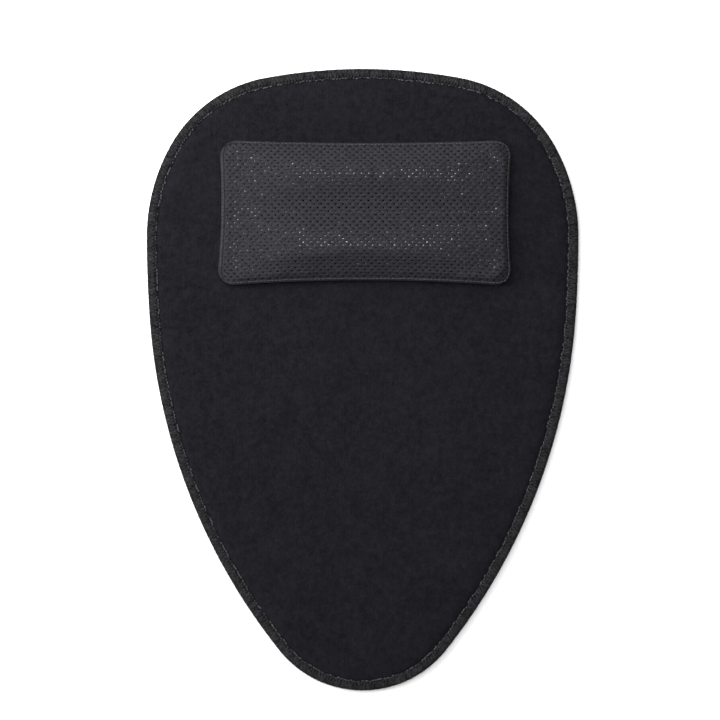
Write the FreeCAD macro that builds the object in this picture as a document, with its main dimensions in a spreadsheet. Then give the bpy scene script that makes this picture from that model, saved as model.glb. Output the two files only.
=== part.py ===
import FreeCAD, Part
import math
import os
import Sketcher

# Cold compression wrap: a tongue-shaped padded panel with an overlocked rim, and a gel pack in
# a mesh pouch that grips the panel's loop lining with two strips of hook tape.
# Frame: the panel lies flat with its lining up (+Z), its round end towards -Y and its wide end
# towards +Y. The origin is the centre of the underside. Every size is in millimetres.

SIZES = [
    # the panel's outline: tangent arcs, the same on both sides
    ("panel_length", 386),
    ("panel_width", 268),
    ("widest_below_top", 104),
    ("crown_radius", 330),
    ("upper_side_radius", 115),
    ("upper_side_sweep", 30),
    ("lower_side_radius", 720),
    ("lower_side_sweep", 4),
    ("tip_radius", 66),
    # the laminate, and how far the overlock presses it down at the rim
    ("facing_thickness", 0.6),
    ("foam_thickness", 3.2),
    ("lining_thickness", 1.2),
    ("rim_foam_thickness", 1.4),
    ("rim_lining_thickness", 1.0),
    # the three threads of the overlocked edge
    ("looper_thickness", 0.4),
    ("looper_wrap", 0.6),
    ("looper_width", 5.4),
    ("needle_line_width", 0.8),
    # the gel pack: two welded cells in a film envelope
    ("pack_centre_x", 1.5),
    ("pack_centre_y", 103.5),
    ("gel_pack_length", 176),
    ("gel_pack_width", 84),
    ("film_thickness", 0.4),
    ("edge_weld", 5),
    ("middle_weld", 4),
    ("cell_height", 14.2),
    ("cell_weld_height", 4),
    ("cell_corner_radius", 9),
    ("cell_top_round", 8),
    ("cell_bottom_round", 3.4),
    # the mesh pouch round the gel pack
    ("mesh_thickness", 0.5),
    ("pouch_clearance", 1.0),
    ("pack_gap", 0.3),
    ("pouch_seam_width", 2.5),
    ("pouch_corner_radius", 12),
    ("mesh_top_round", 8.5),
    ("back_panel_thickness", 0.8),
    ("seam_thread_width", 1.0),
    ("seam_thread_height", 0.4),
    # the hook tape on the back of the pouch
    ("hook_tape_width", 25),
    ("hook_tape_length", 76),
    ("hook_tape_from_end", 12),
    ("hook_tape_thickness", 0.6),
    ("hook_height", 1.0),
    ("hook_selvedge", 2.5),
    ("stitch_thread_width", 0.6),
    ("stitch_thread_height", 0.4),
]

# sizes that follow from the ones above
DERIVED = [
    ("ground", "0"),
    ("panel_edge", "0"),
    ("half_length", "=panel_length / 2"),
    ("half_width", "=panel_width / 2"),
    ("widest_y", "=half_length - widest_below_top"),
    # distances inside the panel's edge
    ("rim_width", "=looper_width + needle_line_width"),
    ("foam_step", "=rim_width + lining_thickness"),
    ("facing_step", "=foam_step - facing_thickness"),
    # heights in the laminate
    ("foam_top", "=facing_thickness + foam_thickness"),
    ("lining_top", "=foam_top + lining_thickness"),
    ("rim_facing_top", "=looper_thickness + facing_thickness"),
    ("rim_foam_top", "=rim_facing_top + rim_foam_thickness"),
    ("rim_top", "=rim_foam_top + rim_lining_thickness"),
    ("thread_top", "=rim_top + looper_thickness"),
    ("looper_meeting", "=thread_top / 2"),
    # heights in the pack
    ("tape_bottom", "=lining_top + hook_height"),
    ("stitch_bottom", "=tape_bottom - stitch_thread_height"),
    ("back_panel_bottom", "=tape_bottom + hook_tape_thickness"),
    ("back_panel_top", "=back_panel_bottom + back_panel_thickness"),
    ("seam_bottom", "=back_panel_top + mesh_thickness"),
    ("seam_top", "=seam_bottom + seam_thread_height"),
    ("film_bottom", "=back_panel_top + pack_gap"),
    ("cell_bottom", "=film_bottom + film_thickness"),
    ("cell_top", "=cell_bottom + cell_height"),
    ("film_top", "=cell_top + film_thickness"),
    ("weld_height", "=cell_bottom + cell_weld_height"),
    ("weld_bottom", "=weld_height - film_thickness"),
    ("weld_top", "=weld_height + film_thickness"),
    ("mesh_ceiling", "=film_top + pack_gap"),
    ("mesh_top", "=mesh_ceiling + mesh_thickness"),
    # the gel cells, the film round them and the room the mesh leaves
    ("cell_length", "=gel_pack_length - 2 * edge_weld"),
    ("cell_width", "=(gel_pack_width - 2 * edge_weld - middle_weld) / 2"),
    ("cell_offset", "=(cell_width + middle_weld) / 2"),
    ("upper_cell_y", "=pack_centre_y + cell_offset"),
    ("lower_cell_y", "=pack_centre_y - cell_offset"),
    ("bulge_length", "=cell_length + 2 * film_thickness"),
    ("bulge_width", "=cell_width + 2 * film_thickness"),
    ("bulge_corner", "=cell_corner_radius + film_thickness"),
    ("bulge_top_round", "=cell_top_round + film_thickness"),
    ("bulge_bottom_round", "=cell_bottom_round + film_thickness"),
    ("mesh_inner_length", "=gel_pack_length + 2 * pouch_clearance"),
    ("mesh_inner_width", "=gel_pack_width + 2 * pouch_clearance"),
    ("mesh_length", "=mesh_inner_length + 2 * mesh_thickness"),
    ("mesh_width", "=mesh_inner_width + 2 * mesh_thickness"),
    ("mesh_corner", "=pouch_corner_radius - pouch_seam_width"),
    ("mesh_inner_corner", "=mesh_corner - mesh_thickness"),
    ("mesh_inner_round", "=mesh_top_round - mesh_thickness"),
    ("film_corner", "=mesh_inner_corner - pouch_clearance"),
    # the pouch's seam runs along the middle of its flange on three sides
    ("pouch_length", "=mesh_length + 2 * pouch_seam_width"),
    ("pouch_width", "=mesh_width + 2 * pouch_seam_width"),
    ("seam_outer_length", "=pouch_length - pouch_seam_width + seam_thread_width"),
    ("seam_outer_width", "=pouch_width - pouch_seam_width + seam_thread_width"),
    ("seam_outer_corner", "=pouch_corner_radius - (pouch_seam_width - seam_thread_width) / 2"),
    ("seam_inner_length", "=seam_outer_length - 2 * seam_thread_width"),
    ("seam_inner_width", "=seam_outer_width - 2 * seam_thread_width"),
    ("seam_inner_corner", "=seam_outer_corner - seam_thread_width"),
    ("mouth_x", "=pack_centre_x - pouch_length / 2"),
    ("mouth_cut_length", "=2 * pouch_corner_radius"),
    ("hem_thread_x", "=mouth_x + pouch_seam_width / 2"),
    ("hem_thread_length", "=pouch_width - 2 * pouch_corner_radius"),
    # the hook tapes, one near each end of the pouch's back
    ("tape_offset", "=(pouch_length - hook_tape_width) / 2 - hook_tape_from_end"),
    ("left_tape_x", "=pack_centre_x - tape_offset"),
    ("right_tape_x", "=pack_centre_x + tape_offset"),
    ("hook_field_width", "=hook_tape_width - 2 * hook_selvedge"),
    ("hook_field_length", "=hook_tape_length - 2 * hook_selvedge"),
    ("stitch_outer_width", "=hook_tape_width - hook_selvedge + stitch_thread_width"),
    ("stitch_outer_length", "=hook_tape_length - hook_selvedge + stitch_thread_width"),
    ("stitch_inner_width", "=stitch_outer_width - 2 * stitch_thread_width"),
    ("stitch_inner_length", "=stitch_outer_length - 2 * stitch_thread_width"),
]

doc = FreeCAD.newDocument("cold_compression_wrap")
sheet = doc.addObject("Spreadsheet::Sheet", "sizes")


def fill_sheet():
    """Write each size into the sheet beside its name, and give the cell that name."""
    for row, (name, value) in enumerate(SIZES + DERIVED, start=1):
        sheet.set(f"A{row}", name)
        sheet.set(f"B{row}", str(value))
        sheet.setAlias(f"B{row}", name)
    doc.recompute()


def size(name):
    """The present value of a named size."""
    return float(sheet.get(name))


# ---------------------------------------------------------------- sketches

START, END, CENTRE = 1, 2, 3
ORIGIN, Y_AXIS = -1, -2
UP = FreeCAD.Vector(0, 0, 1)
SAME_LEVEL = 1e-6

# places in the list of arcs that outline_arcs gives
RIGHT_LOWER, RIGHT_UPPER, CROWN, LEFT_UPPER, LEFT_LOWER, TIP = 1, 2, 4, 6, 7, 9


def new_body(label):
    """A body whose label names the piece."""
    body = doc.addObject("PartDesign::Body", label)
    body.Label = label
    return body


def flat_sketch(body, name, height):
    """A sketch on the body's own XY plane, raised to a named height."""
    plane = next(f for f in body.Origin.OriginFeatures if f.Role == "XY_Plane")
    sketch = body.newObject("Sketcher::SketchObject", name)
    sketch.AttachmentSupport = [(plane, "")]
    sketch.MapMode = "FlatFace"
    sketch.setExpression("AttachmentOffset.Base.z", f"sizes.{height}")
    return sketch


def constrain(sketch, name, formula, *rule):
    """Add a dimension to the sketch and tie it to the sheet under a name."""
    index = sketch.addConstraint(Sketcher.Constraint(*rule))
    sketch.renameConstraint(index, name)
    sketch.setExpression(f"Constraints.{name}", formula)


def along(centre, distance, angle):
    """The point at a distance and angle from a centre."""
    return centre + FreeCAD.Vector(distance * math.cos(angle), distance * math.sin(angle), 0)


def direction(start, end):
    """The angle of the line from start to end."""
    return math.atan2(end.y - start.y, end.x - start.x)


def joining_circle(point, angle, centre, radius):
    """Centre and radius of the circle that leaves a point on the outline smoothly, where the
    outline faces the given angle, and touches the end circle of that centre and radius."""
    normal = along(FreeCAD.Vector(), 1, angle)
    offset = point - centre
    joined = (offset.dot(offset) - radius**2) / (2 * (offset.dot(normal) - radius))
    return point - normal * joined, joined


def outline_arcs(inset):
    """Ten arcs (centre, radius, first angle, last angle) anticlockwise round the panel,
    from the right-hand taper to the tip, a distance inside the panel's edge."""
    crown, tip = size("crown_radius"), size("tip_radius")
    upper, lower = size("upper_side_radius"), size("lower_side_radius")
    upper_sweep = math.radians(size("upper_side_sweep"))
    lower_sweep = -math.radians(size("lower_side_sweep"))
    crown_centre = FreeCAD.Vector(0, size("half_length") - crown, 0)
    tip_centre = FreeCAD.Vector(0, tip - size("half_length"), 0)
    upper_centre = FreeCAD.Vector(size("half_width") - upper, size("widest_y"), 0)
    lower_centre = FreeCAD.Vector(size("half_width") - lower, size("widest_y"), 0)
    shoulder_start = along(upper_centre, upper, upper_sweep)
    taper_start = along(lower_centre, lower, lower_sweep)
    shoulder_centre, shoulder = joining_circle(shoulder_start, upper_sweep, crown_centre, crown)
    taper_centre, taper = joining_circle(taper_start, lower_sweep, tip_centre, tip)
    shoulder_end = direction(crown_centre, shoulder_centre)
    taper_end = direction(taper_centre, tip_centre)
    right = [
        (taper_centre, taper, taper_end, lower_sweep),
        (lower_centre, lower, lower_sweep, 0),
        (upper_centre, upper, 0, upper_sweep),
        (shoulder_centre, shoulder, upper_sweep, shoulder_end),
    ]
    left = []
    for centre, radius, first, last in reversed(right):
        mirrored = FreeCAD.Vector(-centre.x, centre.y, 0)
        left.append((mirrored, radius, math.pi - last, math.pi - first))
    crown_arc = (crown_centre, crown, shoulder_end, math.pi - shoulder_end)
    tip_arc = (tip_centre, tip, math.pi - taper_end, 2 * math.pi + taper_end)
    arcs = right + [crown_arc] + left + [tip_arc]
    return [(centre, radius - inset, first, last) for centre, radius, first, last in arcs]


def draw_outline(sketch, inset):
    """The panel's outline, a named distance inside its edge, as ten tangent arcs."""
    start = sketch.GeometryCount
    arcs = outline_arcs(size(inset))
    for centre, radius, first, last in arcs:
        sketch.addGeometry(Part.ArcOfCircle(Part.Circle(centre, UP, radius), first, last), False)
    for i in range(len(arcs)):
        following = start + (i + 1) % len(arcs)
        sketch.addConstraint(Sketcher.Constraint("Tangent", start + i, END, following, START))

    # the crown and the tip are centred on the line of symmetry
    for place, name, sign in ((CROWN, "crown", 1), (TIP, "tip", -1)):
        tag = f"{name}_{start}"
        arc = start + place
        centre, radius = arcs[place][:2]
        sketch.addConstraint(Sketcher.Constraint("PointOnObject", arc, CENTRE, Y_AXIS))
        constrain(sketch, f"{tag}_radius", f"sizes.{name}_radius - sizes.{inset}", "Radius", arc, radius)
        reach = f"{sign} * (sizes.half_length - sizes.{name}_radius)"
        constrain(sketch, f"{tag}_centre", reach, "DistanceY", ORIGIN, START, arc, CENTRE, centre.y)

    # each side's two arcs meet at the widest line
    half_width = size("half_width") - size(inset)
    sides = (("right", 1, RIGHT_LOWER, RIGHT_UPPER, END), ("left", -1, LEFT_LOWER, LEFT_UPPER, START))
    for side, sign, lower_place, upper_place, meeting in sides:
        tag = f"{side}_{start}"
        lower, upper = start + lower_place, start + upper_place
        edge = f"{sign} * (sizes.half_width - sizes.{inset})"
        constrain(sketch, f"{tag}_x", edge, "DistanceX", ORIGIN, START, lower, meeting, sign * half_width)
        height = size("widest_y")
        constrain(sketch, f"{tag}_y", "sizes.widest_y", "DistanceY", ORIGIN, START, lower, meeting, height)
        sketch.addConstraint(Sketcher.Constraint("Horizontal", lower, meeting, lower, CENTRE))
        for arc, name in ((lower, "lower_side"), (upper, "upper_side")):
            radius = arcs[arc - start][1]
            formula = f"sizes.{name}_radius - sizes.{inset}"
            constrain(sketch, f"{tag}_{name}_radius", formula, "Radius", arc, radius)
            sweep = math.radians(size(f"{name}_sweep"))
            formula = f"sizes.{name}_sweep * 1 deg"
            constrain(sketch, f"{tag}_{name}_sweep", formula, "Angle", arc, sweep)


def draw_rectangle(sketch, length, width, corner, centre_x, centre_y):
    """A rectangle with round corners, from the names of its sizes."""
    start = sketch.GeometryCount
    radius = size(corner)
    middle = FreeCAD.Vector(size(centre_x), size(centre_y), 0)
    reach_x, reach_y = size(length) / 2, size(width) / 2
    quarter = math.pi / 2
    ends = []
    for i, (side_x, side_y) in enumerate(((1, 1), (-1, 1), (-1, -1), (1, -1))):
        inner = FreeCAD.Vector(side_x * (reach_x - radius), side_y * (reach_y - radius), 0) + middle
        circle = Part.Circle(inner, UP, radius)
        sketch.addGeometry(Part.ArcOfCircle(circle, i * quarter, (i + 1) * quarter), False)
        ends.append((along(inner, radius, i * quarter), along(inner, radius, (i + 1) * quarter)))
    for i in range(4):
        sketch.addGeometry(Part.LineSegment(ends[i][1], ends[(i + 1) % 4][0]), False)
    for i in range(4):
        line = start + 4 + i
        sketch.addConstraint(Sketcher.Constraint("Tangent", start + i, END, line, START))
        sketch.addConstraint(Sketcher.Constraint("Tangent", line, END, start + (i + 1) % 4, START))
    for i in range(1, 4):
        sketch.addConstraint(Sketcher.Constraint("Equal", start, start + i))
    top, left, bottom, right = range(start + 4, start + 8)
    sketch.addConstraint(Sketcher.Constraint("Horizontal", top))
    sketch.addConstraint(Sketcher.Constraint("Vertical", left))
    constrain(sketch, f"corner_{start}", f"sizes.{corner}", "Radius", start, radius)
    reaches = (
        ("right", "DistanceX", right, middle.x + reach_x, f"sizes.{centre_x} + sizes.{length} / 2"),
        ("left", "DistanceX", left, middle.x - reach_x, f"sizes.{centre_x} - sizes.{length} / 2"),
        ("top", "DistanceY", top, middle.y + reach_y, f"sizes.{centre_y} + sizes.{width} / 2"),
        ("bottom", "DistanceY", bottom, middle.y - reach_y, f"sizes.{centre_y} - sizes.{width} / 2"),
    )
    for side, rule, line, value, formula in reaches:
        constrain(sketch, f"{side}_{start}", formula, rule, ORIGIN, START, line, START, value)


# ---------------------------------------------------------------- features


def pad(body, sketch, bottom, top):
    """Fill a sketch that lies at one named height up to another."""
    feature = body.newObject("PartDesign::Pad", f"{sketch.Name}_pad")
    feature.Profile = sketch
    feature.setExpression("Length", f"sizes.{top} - sizes.{bottom}")
    return feature


def pocket_up(body, sketch, bottom, top):
    """Cut a sketch out of the body from one named height up to another."""
    feature = body.newObject("PartDesign::Pocket", f"{sketch.Name}_pocket")
    feature.Profile = sketch
    feature.Reversed = True
    feature.setExpression("Length", f"sizes.{top} - sizes.{bottom}")
    return feature


def round_edges(body, feature, name, height, radius):
    """Round the edges that lie flat at a named height."""
    doc.recompute()
    level = size(height)
    edges = []
    for i, edge in enumerate(feature.Shape.Edges, start=1):
        box = edge.BoundBox
        if abs(box.ZMin - level) < SAME_LEVEL and abs(box.ZMax - level) < SAME_LEVEL:
            edges.append(f"Edge{i}")
    fillet = body.newObject("PartDesign::Fillet", name)
    fillet.Base = (feature, edges)
    fillet.setExpression("Radius", f"sizes.{radius}")
    return fillet


def add_outline(body, name, insets, bottom, top):
    """A slab of the panel's outline, or a ring between two insets."""
    sketch = flat_sketch(body, name, bottom)
    for inset in insets:
        draw_outline(sketch, inset)
    return pad(body, sketch, bottom, top)


def add_rectangle(body, name, shape, bottom, top):
    """A slab with round corners; shape names its length, width, corner and centre."""
    sketch = flat_sketch(body, name, bottom)
    draw_rectangle(sketch, *shape)
    return pad(body, sketch, bottom, top)


def add_box(body, name, length, width, centre_x, centre_y, bottom, top):
    """A plain box on named sizes."""
    box = body.newObject("PartDesign::AdditiveBox", name)
    place_box(box, length, width, centre_x, centre_y, bottom, top)
    return box


def cut_box(body, name, length, width, centre_x, centre_y, bottom, top):
    """A plain box cut out of the body."""
    box = body.newObject("PartDesign::SubtractiveBox", name)
    place_box(box, length, width, centre_x, centre_y, bottom, top)
    return box


def place_box(box, length, width, centre_x, centre_y, bottom, top):
    """Tie a box's size and place to the sheet."""
    box.setExpression("Length", f"sizes.{length}")
    box.setExpression("Width", f"sizes.{width}")
    box.setExpression("Height", f"sizes.{top} - sizes.{bottom}")
    box.setExpression("Placement.Base.x", f"sizes.{centre_x} - sizes.{length} / 2")
    box.setExpression("Placement.Base.y", f"sizes.{centre_y} - sizes.{width} / 2")
    box.setExpression("Placement.Base.z", f"sizes.{bottom}")


# ---------------------------------------------------------------- the panel


def make_outer_facing():
    """The face fabric: flat underneath, and lifted over the lower threads at the rim."""
    body = new_body("outer_facing")
    add_outline(body, "facing_sheet", ["facing_step"], "ground", "facing_thickness")
    add_outline(body, "facing_rim", ["looper_wrap", "foam_step"], "looper_thickness", "rim_facing_top")
    return body


def make_foam_core():
    """The foam, squeezed thinner under the overlock."""
    body = new_body("foam_core")
    add_outline(body, "foam_rim", ["looper_wrap"], "rim_facing_top", "rim_foam_top")
    add_outline(body, "foam_middle", ["foam_step"], "facing_thickness", "foam_top")
    return body


def make_loop_lining():
    """The loop fabric that the hook tape grips, stepping down over the foam at the rim."""
    body = new_body("loop_lining")
    add_outline(body, "lining_rim", ["looper_wrap"], "rim_foam_top", "rim_top")
    add_outline(body, "lining_sheet", ["rim_width"], "rim_foam_top", "lining_top")
    hollow = flat_sketch(body, "lining_hollow", "rim_foam_top")
    draw_outline(hollow, "foam_step")
    pocket_up(body, hollow, "rim_foam_top", "foam_top")
    return body


def make_looper_thread(label, face_bottom, face_top, wall_bottom, wall_top):
    """One looper thread: a band on one face of the rim and half of the edge's wall."""
    body = new_body(label)
    add_outline(body, f"{label}_band", ["panel_edge", "looper_width"], face_bottom, face_top)
    add_outline(body, f"{label}_wall", ["panel_edge", "looper_wrap"], wall_bottom, wall_top)
    return body


def make_needle_thread():
    """The straight line of needle stitches along the loopers' inner edge."""
    body = new_body("edge_needle_thread")
    add_outline(body, "needle_line", ["looper_width", "rim_width"], "rim_top", "thread_top")
    return body


# ---------------------------------------------------------------- the gel pack


def make_cell(label, length, width, corner, centre_y, bottom, top, bottom_round, top_round):
    """A gel cell, nearly flat underneath and domed on top."""
    body = new_body(label)
    shape = (length, width, corner, "pack_centre_x", centre_y)
    block = add_rectangle(body, f"{label}_block", shape, bottom, top)
    domed = round_edges(body, block, f"{label}_dome", top, top_round)
    round_edges(body, domed, f"{label}_base", bottom, bottom_round)
    return body


def make_gel_cells(row):
    """The gel in one row's cell, and the same cell grown by the film's thickness."""
    centre_y = f"{row}_cell_y"
    gel = make_cell(
        f"gel_fill_{row}", "cell_length", "cell_width", "cell_corner_radius", centre_y,
        "cell_bottom", "cell_top", "cell_bottom_round", "cell_top_round",
    )
    bulge = make_cell(
        f"bulge_{row}", "bulge_length", "bulge_width", "bulge_corner", centre_y,
        "film_bottom", "film_top", "bulge_bottom_round", "bulge_top_round",
    )
    return gel, bulge


def make_film(label, side_bottom, side_top, weld_bottom, weld_top, gels, bulges):
    """Half of the film envelope: the welded border and the skin over both cells."""
    border = new_body(f"{label}_border")
    shape = ("gel_pack_length", "gel_pack_width", "film_corner", "pack_centre_x", "pack_centre_y")
    add_rectangle(border, f"{label}_sheet", shape, weld_bottom, weld_top)
    whole = doc.addObject("Part::MultiFuse", f"{label}_whole")
    whole.Shapes = [border] + bulges
    side = doc.addObject("Part::Box", f"{label}_side")
    place_box(side, "pouch_length", "pouch_width", "pack_centre_x", "pack_centre_y", side_bottom, side_top)
    half = doc.addObject("Part::Common", f"{label}_half")
    half.Base = whole
    half.Tool = side
    filling = doc.addObject("Part::MultiFuse", f"{label}_filling")
    filling.Shapes = gels
    film = doc.addObject("Part::Cut", label)
    film.Base = half
    film.Tool = filling
    film.Label = label
    return film


# ---------------------------------------------------------------- the pouch

POUCH = ("pouch_length", "pouch_width", "pouch_corner_radius", "pack_centre_x", "pack_centre_y")
MESH = ("mesh_length", "mesh_width", "mesh_corner", "pack_centre_x", "pack_centre_y")
INSIDE = ("mesh_inner_length", "mesh_inner_width", "mesh_inner_corner", "pack_centre_x", "pack_centre_y")
SEAM_OUTER = ("seam_outer_length", "seam_outer_width", "seam_outer_corner", "pack_centre_x", "pack_centre_y")
SEAM_INNER = ("seam_inner_length", "seam_inner_width", "seam_inner_corner", "pack_centre_x", "pack_centre_y")


def make_mesh_front():
    """The mesh stretched over the gel pack, with the flange that is sewn to the back."""
    outside = new_body("mesh_outside")
    add_rectangle(outside, "mesh_flange", POUCH, "back_panel_top", "seam_bottom")
    dome = add_rectangle(outside, "mesh_dome", MESH, "back_panel_top", "mesh_top")
    round_edges(outside, dome, "mesh_crown", "mesh_top", "mesh_top_round")
    inside = new_body("mesh_inside")
    room = add_rectangle(inside, "mesh_room", INSIDE, "back_panel_top", "mesh_ceiling")
    round_edges(inside, room, "mesh_room_crown", "mesh_ceiling", "mesh_inner_round")
    mesh = doc.addObject("Part::Cut", "pouch_mesh_front")
    mesh.Base = outside
    mesh.Tool = inside
    mesh.Label = "pouch_mesh_front"
    return mesh


def make_back_panel():
    """The plain back of the pouch, which carries the hook tapes."""
    body = new_body("pouch_back_panel")
    add_rectangle(body, "back_sheet", POUCH, "back_panel_bottom", "back_panel_top")
    return body


def make_seam_thread():
    """The seam round three sides of the pouch; the end towards -X is its mouth."""
    body = new_body("pouch_seam_thread")
    sketch = flat_sketch(body, "seam_line", "seam_bottom")
    draw_rectangle(sketch, *SEAM_OUTER)
    draw_rectangle(sketch, *SEAM_INNER)
    pad(body, sketch, "seam_bottom", "seam_top")
    mouth = ("mouth_cut_length", "pouch_width", "mouth_x", "pack_centre_y")
    cut_box(body, "seam_mouth", *mouth, "seam_bottom", "seam_top")
    return body


def make_hem_thread():
    """The stitching of the folded hem at the pouch's mouth."""
    body = new_body("pouch_mouth_hem_thread")
    line = ("seam_thread_width", "hem_thread_length", "hem_thread_x", "pack_centre_y")
    add_box(body, "hem_line", *line, "seam_bottom", "seam_top")
    return body


def make_hook_strip(side):
    """One hook tape: the woven tape, and the field of hooks that reaches the lining."""
    body = new_body(f"hook_strip_{side}")
    tape = ("hook_tape_width", "hook_tape_length", f"{side}_tape_x", "pack_centre_y")
    hooks = ("hook_field_width", "hook_field_length", f"{side}_tape_x", "pack_centre_y")
    add_box(body, f"tape_{side}", *tape, "tape_bottom", "back_panel_bottom")
    add_box(body, f"hooks_{side}", *hooks, "lining_top", "tape_bottom")
    return body


def make_tape_stitching(side):
    """The row of stitches round one hook tape's bare margin."""
    body = new_body(f"hook_strip_{side}_stitching")
    outer = ("stitch_outer_width", "stitch_outer_length", f"{side}_tape_x", "pack_centre_y")
    inner = ("stitch_inner_width", "stitch_inner_length", f"{side}_tape_x", "pack_centre_y")
    add_box(body, f"stitches_{side}", *outer, "stitch_bottom", "tape_bottom")
    cut_box(body, f"stitches_{side}_middle", *inner, "stitch_bottom", "tape_bottom")
    return body


# ---------------------------------------------------------------- the whole


def make_pieces():
    """Every piece of the wrap, in the order it would be taken apart."""
    lower_thread = make_looper_thread(
        "edge_lower_looper_thread", "ground", "looper_thickness", "looper_thickness", "looper_meeting"
    )
    upper_thread = make_looper_thread(
        "edge_upper_looper_thread", "rim_top", "thread_top", "looper_meeting", "rim_top"
    )
    panel = [make_outer_facing(), make_foam_core(), make_loop_lining()]
    panel += [lower_thread, upper_thread, make_needle_thread()]
    upper_gel, upper_bulge = make_gel_cells("upper")
    lower_gel, lower_bulge = make_gel_cells("lower")
    gels, bulges = [upper_gel, lower_gel], [upper_bulge, lower_bulge]
    front = ("weld_height", "mesh_top", "weld_height", "weld_top")
    back = ("back_panel_top", "weld_height", "weld_bottom", "weld_height")
    films = [
        make_film("gel_film_front", *front, gels, bulges),
        make_film("gel_film_back", *back, gels, bulges),
    ]
    pouch = [make_mesh_front(), make_back_panel(), make_seam_thread(), make_hem_thread()]
    for side in ("left", "right"):
        pouch += [make_hook_strip(side), make_tape_stitching(side)]
    return panel + gels + films + pouch


def check_and_write(pieces):
    """Stop if anything failed to build, then write each piece's STEP file."""
    for thing in doc.Objects:
        if "Invalid" in thing.State or "Error" in thing.State:
            raise RuntimeError(f"{thing.Label} failed: {thing.State}")
    for piece in pieces:
        if piece.Shape.isNull() or not piece.Shape.isValid() or not piece.Shape.Solids:
            raise RuntimeError(f"{piece.Label} has no sound solid")
    os.makedirs("parts", exist_ok=True)
    for piece in pieces:
        piece.Shape.exportStep(f"parts/{piece.Label}.step")
        print(f"{piece.Label}: {len(piece.Shape.Solids)} solid, {piece.Shape.Volume / 1000:.2f} cm3")


fill_sheet()
all_pieces = make_pieces()
doc.recompute()
check_and_write(all_pieces)
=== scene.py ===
"""Cold compression wrap: a padded panel with an overlocked rim, and a gel pack in a mesh pouch."""

import math

import bpy
import numpy as np
from bpy.props import FloatProperty, FloatVectorProperty, PointerProperty
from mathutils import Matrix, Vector
from mathutils.bvhtree import BVHTree


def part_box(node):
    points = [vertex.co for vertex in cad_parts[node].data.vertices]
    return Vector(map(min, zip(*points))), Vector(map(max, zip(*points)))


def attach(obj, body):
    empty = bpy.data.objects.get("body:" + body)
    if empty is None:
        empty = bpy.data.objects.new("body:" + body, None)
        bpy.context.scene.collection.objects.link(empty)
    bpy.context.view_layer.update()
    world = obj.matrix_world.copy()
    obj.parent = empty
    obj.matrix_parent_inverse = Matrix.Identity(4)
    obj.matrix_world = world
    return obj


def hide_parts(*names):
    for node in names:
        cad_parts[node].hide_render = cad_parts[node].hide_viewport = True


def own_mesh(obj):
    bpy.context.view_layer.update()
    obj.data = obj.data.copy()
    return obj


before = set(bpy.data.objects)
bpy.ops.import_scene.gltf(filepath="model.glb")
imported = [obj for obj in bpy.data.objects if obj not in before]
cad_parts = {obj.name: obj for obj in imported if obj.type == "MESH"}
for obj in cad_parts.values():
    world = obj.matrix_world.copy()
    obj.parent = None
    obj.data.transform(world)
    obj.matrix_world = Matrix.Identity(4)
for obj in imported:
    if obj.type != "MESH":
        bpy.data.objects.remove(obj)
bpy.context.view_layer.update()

bl_info = {
    "name": "Cold Compression Wrap",
    "version": (1, 0, 0),
    "blender": (4, 5, 0),
    "location": "3D View > Sidebar > Wrap",
    "description": "Builds a cold compression wrap round its engineering frame",
    "category": "Add Mesh",
}

MM = 0.001
TINY = 1e-9


# ---------------------------------------------------------------- properties


def length_property(name, description, default):
    """A length that is given in millimetres and shown in the scene's own unit."""
    return FloatProperty(
        name=name, description=description, default=default * MM, unit="LENGTH", precision=5
    )


def share_property(name, description, default):
    """A number with no unit."""
    return FloatProperty(name=name, description=description, default=default, precision=3)


def colour_property(name, description, default):
    """A linear colour."""
    return FloatVectorProperty(
        name=name, description=description, default=default, subtype="COLOR", size=3, min=0, max=1
    )


class WRAP_PG_panel(bpy.types.PropertyGroup):
    """Sizes of the padded panel."""

    widest_below_top: length_property("Widest below top", "From the wide end to the widest line", 104)
    crown_radius: length_property("Crown radius", "Curve of the wide end", 330)
    upper_side_radius: length_property("Upper side radius", "Curve of the side above the widest line", 115)
    upper_side_sweep: FloatProperty(
        name="Upper side sweep", description="Turn of that curve", default=math.radians(30), subtype="ANGLE"
    )
    lower_side_radius: length_property("Lower side radius", "Curve of the side below the widest line", 720)
    lower_side_sweep: FloatProperty(
        name="Lower side sweep", description="Turn of that curve", default=math.radians(4), subtype="ANGLE"
    )
    tip_radius: length_property("Tip radius", "Curve of the narrow end", 66)
    rim_width: length_property("Rim width", "How far the overlock presses the laminate down", 6.2)
    looper_wrap: length_property("Edge wrap", "Room that the threads take round the cut edge", 0.6)
    mesh_spacing: length_property("Spacing", "Distance between points along the outline", 2.2)
    foam_spring: length_property("Foam spring", "How quickly the foam rises inside the rim", 2.6)
    nap_unevenness: length_property("Unevenness", "Gentle waves in the brushed lining", 0.16)


class WRAP_PG_stitching(bpy.types.PropertyGroup):
    """Sizes of the threads."""

    overlock_pitch: length_property("Overlock pitch", "From one overlock stitch to the next", 2.1)
    looper_half_width: length_property("Looper half width", "Half the spread of a looper thread", 0.66)
    needle_half_width: length_property("Needle half width", "Half the width of a needle thread", 0.42)
    needle_inset: length_property("Needle inset", "From the panel's edge to the needle line", 5.8)
    seam_pitch: length_property("Seam pitch", "From one lockstitch to the next", 2.4)
    seam_half_width: length_property("Seam half width", "Half the width of a lockstitch thread", 0.3)
    lean: share_property("Lean", "Largest random turn of a stitch, in radians", 0.08)
    size_spread: share_property("Size spread", "Random share of a stitch's size", 0.09)


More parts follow.
